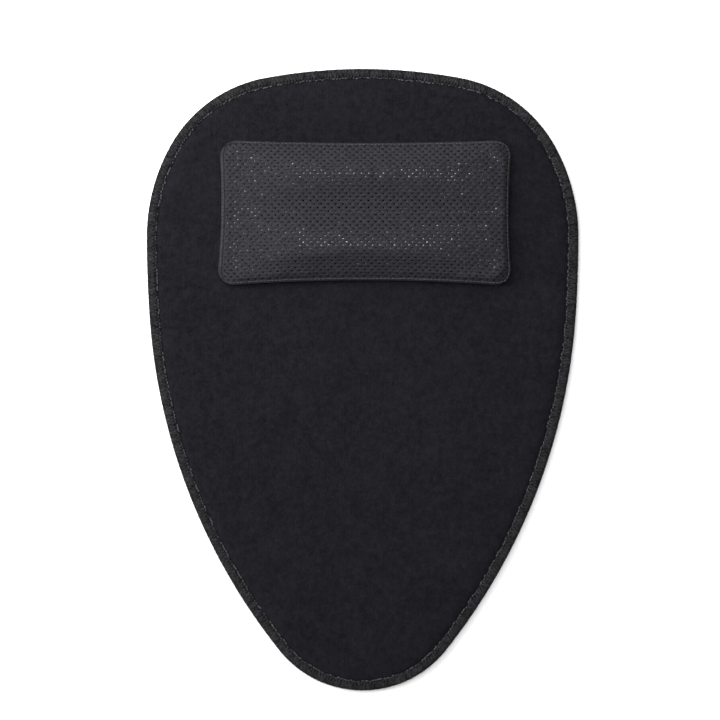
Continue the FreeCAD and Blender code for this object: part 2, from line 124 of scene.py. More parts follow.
class WRAP_PG_pack(bpy.types.PropertyGroup):
    """Sizes of the gel pack and the pouch."""

    film_corner: length_property("Film corner", "Corner radius of the gel pack", 8.5)
    pouch_corner: length_property("Pouch corner", "Corner radius of the pouch", 12)
    edge_weld: length_property("Edge weld", "Width of the welded border", 5)
    middle_weld: length_property("Middle weld", "Width of the weld between the two cells", 4)
    film_thickness: length_property("Film", "Thickness of the film", 0.4)
    weld_share: share_property("Weld height", "Height of the weld, as a share of the pack's", 0.293)
    pressure: share_property("Pressure", "Pressure that swells the cells", 4.0)
    thin_end: share_property("Thin end", "Height left at the mouth end, where there is little gel", 0.34)
    thin_reach: length_property("Thin reach", "Length over which the gel runs out", 48)
    near_side: share_property("Near side", "Swell left at the side nearer the panel's tip", 0.5)
    far_side: share_property("Far side", "Swell left at the side nearer the wide end", 0.75)
    side_reach: length_property("Side reach", "Width over which the swell falls off at a side", 25)
    crease_depth: length_property("Crease depth", "Depth of the crinkles in the film", 0.42)
    crease_size: length_property("Crease size", "Distance between the crinkles", 5.5)
    fold_x: length_property("Fold", "Place of the fold across the upper cell", 6)
    fold_depth: length_property("Fold depth", "Depth of that fold", 1.5)
    pull_top: length_property("Pull at the top", "How far the far side is drawn in", 2.2)
    pull_bottom: length_property("Pull at the bottom", "How far the near side is drawn in", 3.7)
    pull_ends: length_property("Pull at the ends", "How far the ends are drawn in", 2.3)
    slack: share_property("Slack", "How far the mesh sags between the cells", 0.006)
    hole_pitch: length_property("Hole pitch", "From one hole to the next in a row", 4.5)
    row_pitch: length_property("Row pitch", "From one row of holes to the next", 2.17)
    hole_half_length: length_property("Hole half length", "Half a hole along its row", 0.6)
    hole_half_width: length_property("Hole half width", "Half a hole across its row", 0.45)
    mesh_thickness: length_property("Mesh thickness", "Thickness of the knitted mesh", 0.28)
    seam_inset: length_property("Seam inset", "From the pouch's edge to its seam", 1.25)
    back_sag: length_property("Back sag", "Sag of the back panel between the tapes", 0.8)


class WRAP_PG_hooks(bpy.types.PropertyGroup):
    """Sizes of the hook tape."""

    selvedge: length_property("Selvedge", "Bare margin of the tape", 2.5)
    column_pitch: length_property("Column pitch", "From one hook to the next across the tape", 1.6)
    hook_row_pitch: length_property("Row pitch", "From one hook to the next along the tape", 1.2)
    hook_half_width: length_property("Hook half width", "Half the thickness of a hook", 0.13)


class WRAP_PG_colours(bpy.types.PropertyGroup):
    """Colours of the finishes."""

    lining: colour_property("Lining", "Brushed loop lining", (0.0086, 0.0084, 0.0106))
    facing: colour_property("Facing", "Outer facing", (0.0150, 0.0150, 0.0165))
    foam: colour_property("Foam", "Foam core", (0.0300, 0.0300, 0.0320))
    looper: colour_property("Looper thread", "Bulky thread of the overlock", (0.0105, 0.0105, 0.0115))
    needle: colour_property("Needle thread", "Smooth needle thread", (0.0400, 0.0400, 0.0420))
    mesh: colour_property("Mesh", "Knitted mesh of the pouch", (0.0182, 0.0178, 0.0213))
    pouch: colour_property("Back panel", "Plain back of the pouch", (0.0220, 0.0220, 0.0240))
    tape: colour_property("Hook tape", "Nylon hook tape", (0.0140, 0.0140, 0.0150))
    film: colour_property("Film", "Glossy film of the gel pack", (0.0220, 0.0220, 0.0250))
    gel: colour_property("Gel", "Gel in the cells", (0.0150, 0.0600, 0.1500))
    floor: colour_property("Floor", "Pale floor", (0.92, 0.92, 0.92))


class WRAP_PG_stage(bpy.types.PropertyGroup):
    """The camera and the lights."""

    aim_x: length_property("Aim X", "Point on the panel that the camera looks at", -1.6)
    aim_y: length_property("Aim Y", "Point on the panel that the camera looks at", 12.2)
    field: length_property("Field", "Width of the view at the panel", 446.4)
    lens: share_property("Lens", "Focal length in millimetres", 100.0)
    world: share_property("World", "Strength of the light from all round", 0.22)
    key: share_property("Key", "Power of the large soft light on the left, in watts", 45.0)
    back: share_property("Back light", "Power of the light beyond the wide end, in watts", 4.0)
    overhead: share_property("Overhead", "Power of the overhead softbox, in watts", 12.0)
    fill: share_property("Fill", "Power of the distant light beyond the narrow end, in watts", 24.0)


# ---------------------------------------------------------------- meshes and pieces


def linked_mesh(name, points, edges, faces):
    """An object in the scene, with a mesh of its own."""
    mesh = bpy.data.meshes.new(name)
    points = [tuple(map(float, point)) for point in points]
    mesh.from_pydata(points, edges, [tuple(map(int, face)) for face in faces])
    made = bpy.data.objects.new(name, mesh)
    bpy.context.scene.collection.objects.link(made)
    return made


def new_object(name, points, faces, material=None):
    """A mesh object at the origin, with its place in its points."""
    made = linked_mesh(name, points, [], faces)
    made.data.validate()
    if material is not None:
        made.data.materials.append(material)
    made.data.shade_smooth()
    return made


def new_line(name, points, closed):
    """A row of points joined by edges, for stitches to follow."""
    count = len(points)
    edges = [(i, (i + 1) % count) for i in range(count if closed else count - 1)]
    return linked_mesh(name, points, edges, [])


def remove(*objects):
    """Delete helpers that aren't part of the wrap."""
    for thing in objects:
        bpy.data.objects.remove(thing)


def plain_mesh(piece):
    """Turn what a piece's modifiers make into its own mesh, with the one finish that it uses."""
    bpy.context.view_layer.update()
    graph = bpy.context.evaluated_depsgraph_get()
    mesh = bpy.data.meshes.new_from_object(
        piece.evaluated_get(graph), preserve_all_data_layers=True, depsgraph=graph
    )
    finish_used = next(material for material in mesh.materials if material)
    mesh.materials.clear()
    mesh.materials.append(finish_used)
    mesh.polygons.foreach_set("material_index", [0] * len(mesh.polygons))
    piece.modifiers.clear()
    piece.data = mesh
    mesh.name = piece.name
    return piece


def seat(piece, body, slot, *nodes):
    """Put a finished piece on its body, in place of the nodes that it stands for."""
    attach(piece, body)
    if nodes:
        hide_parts(*nodes)
    return piece


def ring_faces(first, second, count):
    """Quads between two closed rows of points, given by their first indices."""
    return [
        (first + i, first + (i + 1) % count, second + (i + 1) % count, second + i) for i in range(count)
    ]


def grid_faces(columns, rows, start=0, flipped=False):
    """Quads of a grid whose points are stored column by column, facing up."""
    faces = []
    for i in range(columns - 1):
        for j in range(rows - 1):
            a = start + i * rows + j
            quad = (a, a + rows, a + rows + 1, a + 1)
            faces.append(quad[::-1] if flipped else quad)
    return faces


def grid_border(columns, rows):
    """The outer points of such a grid, anticlockwise."""
    bottom = [i * rows for i in range(columns - 1)]
    right = [(columns - 1) * rows + j for j in range(rows - 1)]
    top = [i * rows + rows - 1 for i in range(columns - 1, 0, -1)]
    left = list(range(rows - 1, 0, -1))
    return bottom + right + top + left


def slab_between(name, lower, upper, material):
    """A closed piece between two grids of points, each columns by rows by three."""
    columns, rows = lower.shape[:2]
    count = columns * rows
    points = np.concatenate((lower.reshape(-1, 3), upper.reshape(-1, 3)))
    faces = grid_faces(columns, rows, 0, True) + grid_faces(columns, rows, count)
    border = grid_border(columns, rows)
    for here, there in zip(border, border[1:] + border[:1]):
        faces.append((here, there, there + count, here + count))
    return new_object(name, points, faces, material_named(material))


def heights(node):
    """The lowest and the highest point of a CAD node."""
    low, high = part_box(node)
    return low.z, high.z


def extent(node):
    """The length and the width of a CAD node, seen from above."""
    low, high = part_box(node)
    return high.x - low.x, high.y - low.y


def even_grid(columns, rows, near, far):
    """X and Y of evenly spaced points between two opposite corners."""
    x, y = np.linspace(near[0], far[0], columns), np.linspace(near[1], far[1], rows)
    return np.meshgrid(x, y, indexing="ij")


def smooth_step(value):
    """Rise gently from 0 to 1."""
    share = np.clip(value, 0, 1)
    return share * share * (3 - 2 * share)


def gentle_waves(x, y, size, seed):
    """Irregular waves about so far apart, from -1 to 1."""
    draw = np.random.default_rng(seed)
    total = np.zeros_like(x)
    for _ in range(7):
        angle, phase = draw.uniform(0, 2 * math.pi, 2)
        stretch = draw.uniform(0.7, 1.6)
        across = x * math.cos(angle) + y * math.sin(angle)
        total += np.sin(across * 2 * math.pi / (size * stretch) + phase)
    return total / 7


def creases(x, y, size, seed):
    """Thin crossing ridges, as in a crinkled film, with a mean near 0."""
    draw = np.random.default_rng(seed)
    total = np.zeros_like(x)
    for _ in range(5):
        angle, phase = draw.uniform(0, 2 * math.pi, 2)
        wander = gentle_waves(x, y, 4 * size, int(draw.integers(1000)))
        across = (x * math.cos(angle) + y * math.sin(angle)) * math.pi / (1.4 * size)
        total += (1 - np.abs(np.sin(across + 4 * wander + phase))) ** 2 - 0.3
    return total / 2


def strand(path, half_width, half_height, sides=6):
    """Points, faces and UVs of a flattened thread along a path, widest along X."""
    path = np.array(path, float)
    steps = np.gradient(path, axis=0)
    points, faces, uvs = [], [], []
    travelled = np.concatenate(((0,), np.cumsum(np.linalg.norm(np.diff(path, axis=0), axis=1))))
    for middle, step in zip(path, steps):
        ahead = step / np.linalg.norm(step)
        guide = np.array((1.0, 0, 0)) if abs(ahead[0]) < 0.8 else np.array((0, 1.0, 0))
        side = guide - ahead * (guide @ ahead)
        side /= np.linalg.norm(side)
        up = np.cross(ahead, side)
        for k in range(sides):
            turn = 2 * math.pi * k / sides
            points.append(middle + side * half_width * math.cos(turn) + up * half_height * math.sin(turn))
    for row in range(len(path) - 1):
        for k in range(sides):
            a, b = row * sides + k, row * sides + (k + 1) % sides
            faces.append((a, b, b + sides, a + sides))
            low, high = travelled[row] / half_width, travelled[row + 1] / half_width
            left, right = k / sides, (k + 1) / sides
            uvs.append(((low, left), (low, right), (high, right), (high, left)))
    last = (len(path) - 1) * sides
    faces.append(tuple(range(sides))[::-1])
    faces.append(tuple(range(last, last + sides)))
    uvs += [((0, 0),) * sides, ((travelled[-1] / half_width, 0),) * sides]
    return points, faces, uvs


def thread_object(name, strands):
    """One mesh from several strands, with the UVs that its twist follows."""
    points, faces, uvs = [], [], []
    for more_points, more_faces, more_uvs in strands:
        faces += [tuple(i + len(points) for i in face) for face in more_faces]
        points += more_points
        uvs += more_uvs
    made = new_object(name, points, faces)
    layer = made.data.uv_layers.new(name="UVMap")
    corners = [corner for face in uvs for corner in face]
    layer.data.foreach_set("uv", np.array(corners, np.float32).ravel())
    return made


# ---------------------------------------------------------------- node trees


def connect(tree, value, socket):
    """Link a socket to an output, or set its plain value."""
    if isinstance(value, bpy.types.NodeSocket):
        tree.links.new(value, socket)
    else:
        socket.default_value = value


def add(tree, kind, inputs=None, **properties):
    """Add a node. Each input is a plain value or another node's output."""
    node = tree.nodes.new(kind)
    for name, value in properties.items():
        setattr(node, name, value)
    for key, value in (inputs or {}).items():
        connect(tree, value, node.inputs[key])
    return node


def maths(tree, operation, *values):
    """The output of a Math node."""
    return add(tree, "ShaderNodeMath", dict(enumerate(values)), operation=operation).outputs[0]


def vector_maths(tree, operation, *values):
    """The output of a Vector Math node."""
    return add(tree, "ShaderNodeVectorMath", dict(enumerate(values)), operation=operation).outputs[0]


def enabled_socket(sockets, name=None):
    """The socket that a node's chosen data type shows."""
    return next(socket for socket in sockets if socket.enabled and name in (None, socket.name))


def group_once(name, kind, inputs, outputs, build):
    """A node group with named inputs and outputs, built when it is first asked for."""
    tree = bpy.data.node_groups.get(name)
    if tree:
        return tree
    tree = bpy.data.node_groups.new(name, kind)
    for side, listed in (("INPUT", inputs), ("OUTPUT", outputs)):
        for label, socket_type in listed:
            tree.interface.new_socket(label, in_out=side, socket_type=socket_type)
    start = tree.nodes.new("NodeGroupInput").outputs
    end = tree.nodes.new("NodeGroupOutput").inputs
    for (label, _), result in zip(outputs, build(tree, start)):
        tree.links.new(result, end[label])
    return tree


def use_nodes(piece, name, values):
    """Give a piece a geometry node modifier, with its inputs set by their identifiers."""
    inputs, build = TREES[name]
    tree = group_once(name, "GeometryNodeTree", inputs, GEOMETRY, build)
    modifier = piece.modifiers.new(tree.name, "NODES")
    modifier.node_group = tree
    for item in tree.interface.items_tree:
        if item.item_type == "SOCKET" and item.in_out == "INPUT" and item.name in values:
            modifier[item.identifier] = values[item.name]


def with_material(tree, geometry, start):
    """Geometry with the finish that the group is given."""
    inputs = {"Geometry": geometry, "Material": start["Material"]}
    return add(tree, "GeometryNodeSetMaterial", inputs).outputs[0]


def shape_of(tree, start, name):
    """The mesh of an object that the group is given."""
    return add(tree, "GeometryNodeObjectInfo", {"Object": start[name]}).outputs["Geometry"]


def point_field(tree, start, column_pitch):
    """A flat field of points about the origin, in columns and rows."""

    def span(count, pitch):
        return maths(tree, "MULTIPLY", maths(tree, "SUBTRACT", start[count], 1.0), start[pitch])

    inputs = {
        "Size X": span("Columns", column_pitch),
        "Size Y": span("Rows", "Row Pitch"),
        "Vertices X": start["Columns"],
        "Vertices Y": start["Rows"],
    }
    return add(tree, "GeometryNodeMeshGrid", inputs).outputs["Mesh"]


def coordinate(tree, axis):
    """One coordinate of each point."""
    position = add(tree, "GeometryNodeInputPosition").outputs[0]
    return add(tree, "ShaderNodeSeparateXYZ", {0: position}).outputs[axis]


def scatter(tree, points, shape, rotation, start):
    """Stitches or hooks on points, each a little different, made real with their material."""
    def spread(low, high, offset):
        seed = maths(tree, "ADD", start["Seed"], float(offset))
        node = add(tree, "FunctionNodeRandomValue", {"Seed": seed}, data_type="FLOAT")
        connect(tree, low, enabled_socket(node.inputs, "Min"))
        connect(tree, high, enabled_socket(node.inputs, "Max"))
        return enabled_socket(node.outputs)

    negative = maths(tree, "MULTIPLY", start["Lean"], -1.0)
    lean = add(tree, "ShaderNodeCombineXYZ", {"Z": spread(negative, start["Lean"], 1)}).outputs[0]
    turn = add(tree, "FunctionNodeEulerToRotation", {0: lean}).outputs[0]
    turning = {"Rotation": rotation, "Rotate By": turn}
    turned = add(tree, "FunctionNodeRotateRotation", turning, rotation_space="LOCAL")
    smaller = maths(tree, "SUBTRACT", 1.0, start["Size Spread"])
    larger = maths(tree, "ADD", 1.0, start["Size Spread"])
    scale = spread(smaller, larger, 2)
    placed = add(
        tree,
        "GeometryNodeInstanceOnPoints",
        {"Points": points, "Instance": shape, "Rotation": turned.outputs[0], "Scale": scale},
    )
    shaded = add(
        tree,
        "GeometryNodeStoreNamedAttribute",
        {"Geometry": placed.outputs[0], "Name": "shade", "Value": spread(0.0, 1.0, 3)},
        data_type="FLOAT",
        domain="INSTANCE",
    )
    real = add(tree, "GeometryNodeRealizeInstances", {"Geometry": shaded.outputs[0]})
    return with_material(tree, real.outputs[0], start)


def stitch_row(tree, start):
    """Stitches one after another along a line, with X along it and Y to its left."""
    curve = add(tree, "GeometryNodeMeshToCurve", {"Mesh": start["Geometry"]}).outputs[0]
    spacing = {"Curve": curve, "Length": start["Pitch"]}
    spaced = add(tree, "GeometryNodeResampleCurve", spacing, mode="LENGTH")
    tangent = add(tree, "GeometryNodeInputTangent").outputs[0]
    facing = add(tree, "FunctionNodeAlignRotationToVector", {"Vector": tangent}, axis="X", pivot_axis="Z")
    shape = shape_of(tree, start, "Shape")
    return (scatter(tree, spaced.outputs[0], shape, facing.outputs[0], start),)


def hook_field(tree, start):
    """A tape, with a field of hooks on its underside that face two ways in turn."""
    grid = point_field(tree, start, "Column Pitch")
    moved = add(tree, "GeometryNodeSetPosition", {"Geometry": grid, "Offset": start["Centre"]})
    column = maths(tree, "DIVIDE", coordinate(tree, "X"), start["Column Pitch"])
    parity = maths(tree, "PINGPONG", maths(tree, "FLOOR", column), 1.0)
    angle = maths(tree, "MULTIPLY", parity, math.pi)
    euler = add(tree, "ShaderNodeCombineXYZ", {"Z": angle}).outputs[0]
    facing = add(tree, "FunctionNodeEulerToRotation", {0: euler}).outputs[0]
    shape = shape_of(tree, start, "Shape")
    hooks = scatter(tree, moved.outputs[0], shape, facing, start)
    both = tree.nodes.new("GeometryNodeJoinGeometry")
    tree.links.new(hooks, both.inputs[0])
    tree.links.new(start["Geometry"], both.inputs[0])
    return (with_material(tree, both.outputs[0], start),)


def perforated_sheet(tree, start):
    """A flat sheet of cells with a hole in each, laid on a surface by its cloth coordinates."""
    grid = point_field(tree, start, "Hole Pitch")
    row = maths(tree, "DIVIDE", coordinate(tree, "Y"), start["Row Pitch"])
    parity = maths(tree, "PINGPONG", maths(tree, "ROUND", row), 1.0)
    shift = maths(tree, "MULTIPLY", parity, start["Hole Pitch"])
    shift = maths(tree, "MULTIPLY", shift, 0.5)
    sideways = add(tree, "ShaderNodeCombineXYZ", {"X": shift}).outputs[0]
    staggered = add(tree, "GeometryNodeSetPosition", {"Geometry": grid, "Offset": sideways}).outputs[0]
    cell = shape_of(tree, start, "Cell")
    placed = add(tree, "GeometryNodeInstanceOnPoints", {"Points": staggered, "Instance": cell})
    real = add(tree, "GeometryNodeRealizeInstances", {"Geometry": placed.outputs[0]})
    sides = {"X": start["Length"], "Y": start["Width"], "Z": 1.0}
    size = add(tree, "ShaderNodeCombineXYZ", sides).outputs[0]
    just_inside = 0.4995
    far = vector_maths(tree, "MULTIPLY", size, (just_inside, just_inside, 0.0))
    near = vector_maths(tree, "MULTIPLY", size, (-just_inside, -just_inside, 0.0))
    position = add(tree, "GeometryNodeInputPosition").outputs[0]
    held = vector_maths(tree, "MAXIMUM", position, near)
    held = vector_maths(tree, "MINIMUM", held, far)
    clamped = add(tree, "GeometryNodeSetPosition", {"Geometry": real.outputs[0], "Position": held})
    merge = {"Geometry": clamped.outputs[0], "Distance": 0.02 * MM}
    joined = add(tree, "GeometryNodeMergeByDistance", merge)
    share = vector_maths(tree, "DIVIDE", position, size)
    cloth = vector_maths(tree, "ADD", share, (0.5, 0.5, 0.0))
    named = add(
        tree,
        "GeometryNodeStoreNamedAttribute",
        {"Geometry": joined.outputs[0], "Name": "UVMap", "Value": cloth},
        data_type="FLOAT2",
        domain="CORNER",
    )
    vector = {"data_type": "FLOAT_VECTOR"}
    surface_cloth = add(tree, "GeometryNodeInputNamedAttribute", {"Name": "cloth"}, **vector)
    sampled = add(tree, "GeometryNodeSampleUVSurface", **vector)
    connect(tree, position, enabled_socket(sampled.inputs, "Value"))
    connect(tree, shape_of(tree, start, "Surface"), sampled.inputs["Mesh"])
    connect(tree, surface_cloth.outputs[0], sampled.inputs["UV Map"])
    connect(tree, cloth, sampled.inputs["Sample UV"])
    on_surface = enabled_socket(sampled.outputs)
    laid = add(tree, "GeometryNodeSetPosition", {"Geometry": named.outputs[0], "Position": on_surface})
    finished = with_material(tree, laid.outputs[0], start)
    return (add(tree, "GeometryNodeRealizeInstances", {"Geometry": finished}).outputs[0],)


def sockets(kind, *labels):
    """Names of group sockets, with the kind of value that they hold."""
    return [(label, f"NodeSocket{kind}") for label in labels]


GEOMETRY = sockets("Geometry", "Geometry")
SCATTER_INPUTS = GEOMETRY + sockets("Object", "Shape") + sockets("Float", "Lean", "Size Spread")
SCATTER_INPUTS += sockets("Int", "Seed") + sockets("Material", "Material")
ROW_INPUTS = SCATTER_INPUTS + sockets("Float", "Pitch")
FIELD_INPUTS = SCATTER_INPUTS + sockets("Int", "Columns", "Rows")
FIELD_INPUTS += sockets("Float", "Column Pitch", "Row Pitch") + sockets("Vector", "Centre")
SHEET_INPUTS = GEOMETRY + sockets("Object", "Surface", "Cell") + sockets("Int", "Columns", "Rows")
SHEET_INPUTS += sockets("Float", "Hole Pitch", "Row Pitch", "Length", "Width")
SHEET_INPUTS += sockets("Material", "Material")
TREES = {
    "Stitch Row": (ROW_INPUTS, stitch_row),
    "Hook Field": (FIELD_INPUTS, hook_field),
    "Perforated Sheet": (SHEET_INPUTS, perforated_sheet),
}


# ---------------------------------------------------------------- finishes

HEIGHT_AND_SHADE = sockets("Float", "Height", "Shade")


def in_millimetres(tree, place):
    """A position in metres, in millimetres."""
    return add(tree, "ShaderNodeVectorMath", {0: place, "Scale": 1000.0}, operation="SCALE").outputs[0]


def noise(tree, place, size, detail=3.0):
    """Fractal noise whose lumps are about so many millimetres across."""
    node = add(
        tree,
        "ShaderNodeTexNoise",
        {"Vector": place, "Scale": 1.0 / size, "Detail": detail, "Roughness": 0.6},
    )
    return node.outputs[0]


def ribs(tree, place, pitch, direction="X", distortion=1.5):
    """Ribs so many millimetres apart."""
    node = add(
        tree,
        "ShaderNodeTexWave",
        {"Vector": place, "Scale": 0.314159 / pitch, "Distortion": distortion, "Detail": 2.0},
        bands_direction=direction,
    )
    return node.outputs[1]


def mix_values(tree, share, first, second):
    """A blend of two values."""
    node = add(tree, "ShaderNodeMix", {0: share, 2: first, 3: second}, data_type="FLOAT")
    return node.outputs[0]


def fabric_group(pattern):
    """A shared pattern that gives a height and a shade from a place."""

    def build(tree, start):
        return pattern(tree, in_millimetres(tree, start["Place"]))

    place = sockets("Vector", "Place")
    return group_once(pattern.__name__, "ShaderNodeTree", place, HEIGHT_AND_SHADE, build)


def brushed_nap(tree, place):
    """Raised loops in fine rows, brushed so that they lie in soft patches."""
    loops = noise(tree, place, 0.5, 5.0)
    rows = ribs(tree, place, 1.1, "X", 2.5)
    height = mix_values(tree, 0.35, loops, rows)
    tufts = mix_values(tree, 0.4, height, noise(tree, place, 2.6, 3.0))
    grain = mix_values(tree, 0.5, noise(tree, place, 1.5, 2.0), noise(tree, place, 3.5, 2.0))
    patches = noise(tree, place, 18.0, 4.0)
    return tufts, mix_values(tree, 0.2, grain, patches)


def tricot_knit(tree, place):
    """Fine wales along Y crossed by the courses of a warp knit."""
    wales = ribs(tree, place, 0.55, "X", 0.6)
    courses = ribs(tree, place, 0.5, "Y", 0.9)
    height = mix_values(tree, 0.4, wales, courses)
    grain = mix_values(tree, 0.4, noise(tree, place, 1.0, 2.0), noise(tree, place, 1.8, 4.0))
    return mix_values(tree, 0.3, height, grain), mix_values(tree, 0.75, height, grain)


def plain_weave(tree, place):
    """Warp and weft of a close plain weave."""
    warp = ribs(tree, place, 0.42, "X", 0.3)
    weft = ribs(tree, place, 0.42, "Y", 0.3)
    height = maths(tree, "MULTIPLY", warp, weft)
    slubs = noise(tree, place, 3.0, 4.0)
    return height, mix_values(tree, 0.6, height, slubs)


def foam_cells(tree, place):
    """Small closed cells of a cut foam."""
    node = add(tree, "ShaderNodeTexVoronoi", {"Vector": place, "Scale": 2.4})
    pores = noise(tree, place, 0.3, 3.0)
    height = mix_values(tree, 0.4, node.outputs["Distance"], pores)
    return height, pores


def film_crinkle(tree, place):
    """Small crinkles and handling marks in a film."""
    folds = noise(tree, place, 2.4, 1.0)
    marks = noise(tree, place, 11.0, 3.0)
    return folds, marks


def new_material(name, shader_values):
    """A material, its node tree and its shader with plain values on the shader's own sockets."""
    material = bpy.data.materials.new(name)
    material.use_nodes = True
    shader = material.node_tree.nodes["Principled BSDF"]
    for socket, value in shader_values.items():
        shader.inputs[socket].default_value = value
    return material, material.node_tree, shader


def object_place(tree):
    """Object coordinates, in metres."""
    return add(tree, "ShaderNodeTexCoord").outputs["Object"]


def tinted(colour, share):
    """A colour made so many times as bright."""
    return tuple(part * share for part in colour) + (1.0,)


def colour_from(tree, shader, shade, darker, lighter, middle=None):
    """Colour a shader from dark to light by a shade."""
    ramp = add(tree, "ShaderNodeValToRGB", {0: shade})
    stops = ramp.color_ramp.elements
    stops[0].position, stops[0].color = 0.3, darker
    stops[1].position, stops[1].color = 0.7, lighter
    if middle:
        stops.new(0.5).color = middle
    tree.links.new(ramp.outputs["Color"], shader.inputs["Base Color"])


def bump_from(tree, shader, height, strength, depth):
    """Raise a shader's surface by a height."""
    inputs = {"Height": height, "Strength": strength, "Distance": depth * MM}
    tree.links.new(add(tree, "ShaderNodeBump", inputs).outputs[0], shader.inputs["Normal"])


def finish(name, colour, pattern, shader_values, depth, contrast, strength=0.6):
    """A material whose colour and bump follow one shared pattern on object coordinates."""
    material, tree, shader = new_material(name, shader_values)
    node = add(tree, "ShaderNodeGroup", node_tree=fabric_group(pattern))
    tree.links.new(object_place(tree), node.inputs["Place"])
    darker, lighter = tinted(colour, 1 - contrast), tinted(colour, 1 + contrast)
    colour_from(tree, shader, node.outputs["Shade"], darker, lighter, tinted(colour, 1))
    bump_from(tree, shader, node.outputs["Height"], strength, depth)
    return material


def ply_twist(tree, start):
    """The diagonal plies of a twisted thread along its own UVs."""
    parts = add(tree, "ShaderNodeSeparateXYZ", {0: start["Along"]})
    slow = maths(tree, "MULTIPLY", parts.outputs["X"], 2.2)
    turns = maths(tree, "MULTIPLY", parts.outputs["Y"], 2 * math.pi * 2)
    phase = maths(tree, "ADD", slow, turns)
    wave = maths(tree, "SINE", phase)
    height = maths(tree, "MULTIPLY_ADD", wave, 0.5, 0.5)
    fuzz = add(tree, "ShaderNodeTexNoise", {"Vector": start["Along"], "Scale": 4.0, "Detail": 4.0})
    return height, mix_values(tree, 0.65, height, fuzz.outputs[0])


def thread_finish(name, colour, roughness, contrast):
    """A thread: twisted plies, and each stitch a little lighter or darker than the next."""
    shader_values = {"Roughness": roughness, "Specular IOR Level": 0.12}
    material, tree, shader = new_material(name, shader_values)
    along = add(tree, "ShaderNodeUVMap", uv_map="UVMap").outputs[0]
    inputs = sockets("Vector", "Along")
    group = group_once("ply_twist", "ShaderNodeTree", inputs, HEIGHT_AND_SHADE, ply_twist)
    node = add(tree, "ShaderNodeGroup", node_tree=group)
    tree.links.new(along, node.inputs["Along"])
    each = add(tree, "ShaderNodeAttribute", attribute_name="shade").outputs["Fac"]
    plies = mix_values(tree, 0.3, node.outputs["Shade"], each)
    place = in_millimetres(tree, object_place(tree))
    shade = mix_values(tree, 0.65, plies, noise(tree, place, 1.6, 2.0))
    colour_from(tree, shader, shade, tinted(colour, 1 - contrast), tinted(colour, 1 + 1.6 * contrast))
    bump_from(tree, shader, node.outputs["Height"], 0.7, 0.12)
    return material


CLOTH = {"Roughness": 1.0, "Specular IOR Level": 0.02}
MESH_CLOTH = {"Roughness": 0.8, "Specular IOR Level": 0.1, "Sheen Weight": 0.02, "Sheen Roughness": 0.3}
PLAIN_CLOTH = {"Roughness": 0.9, "Specular IOR Level": 0.15, "Sheen Weight": 0.06}
FOAM = {"Roughness": 0.95, "Specular IOR Level": 0.2}
NYLON = {"Roughness": 0.45, "Specular IOR Level": 0.5}
FILM = {"Roughness": 0.16, "Specular IOR Level": 1.0, "Coat Weight": 0.6, "Coat Roughness": 0.06}
GEL = {"Roughness": 0.2, "Transmission Weight": 0.25, "IOR": 1.38}
PALE = {"Roughness": 0.9, "Specular IOR Level": 0.1}

# For cloth and film: pattern, shader values, depth in mm, contrast and strength of the bump.
# For thread: roughness and contrast.
FINISHES = {
    "loop_fabric": (finish, "lining", brushed_nap, CLOTH, 0.5, 0.5, 0.9),
    "facing_fabric": (finish, "facing", tricot_knit, PLAIN_CLOTH, 0.12, 0.3),
    "foam": (finish, "foam", foam_cells, FOAM, 0.3, 0.35),
    "mesh_fabric": (finish, "mesh", tricot_knit, MESH_CLOTH, 0.15, 0.75),
    "pouch_fabric": (finish, "pouch", plain_weave, PLAIN_CLOTH, 0.1, 0.3),
    "hook_tape": (finish, "tape", plain_weave, NYLON, 0.08, 0.3),
    "film": (finish, "film", film_crinkle, FILM, 1.8, 0.25, 0.9),
    "gel": (finish, "gel", film_crinkle, GEL, 0.2, 0.2, 0.3),
    "pale_floor": (finish, "floor", plain_weave, PALE, 0.01, 0.01, 0.05),
    "overlock_thread": (thread_finish, "looper", 0.8, 0.95),
    "needle_thread": (thread_finish, "needle", 0.6, 0.4),
}


def material_named(name):
    """A finish, made when it is first asked for."""
    own_name = f"wrap_{name}"
    found = bpy.data.materials.get(own_name)
    if found:
        return found
    maker, colour, *values = FINISHES[name]
    return maker(own_name, getattr(bpy.context.scene.wrap_colours, colour), *values)


# ---------------------------------------------------------------- the panel's outline


def joining_circle(point, angle, centre, radius):
    """Centre and radius of the circle that leaves a point smoothly and touches another circle."""
    normal = np.array((math.cos(angle), math.sin(angle)))
    offset = point - centre
    joined = (offset @ offset - radius**2) / (2 * (offset @ normal - radius))
    return point - normal * joined, joined


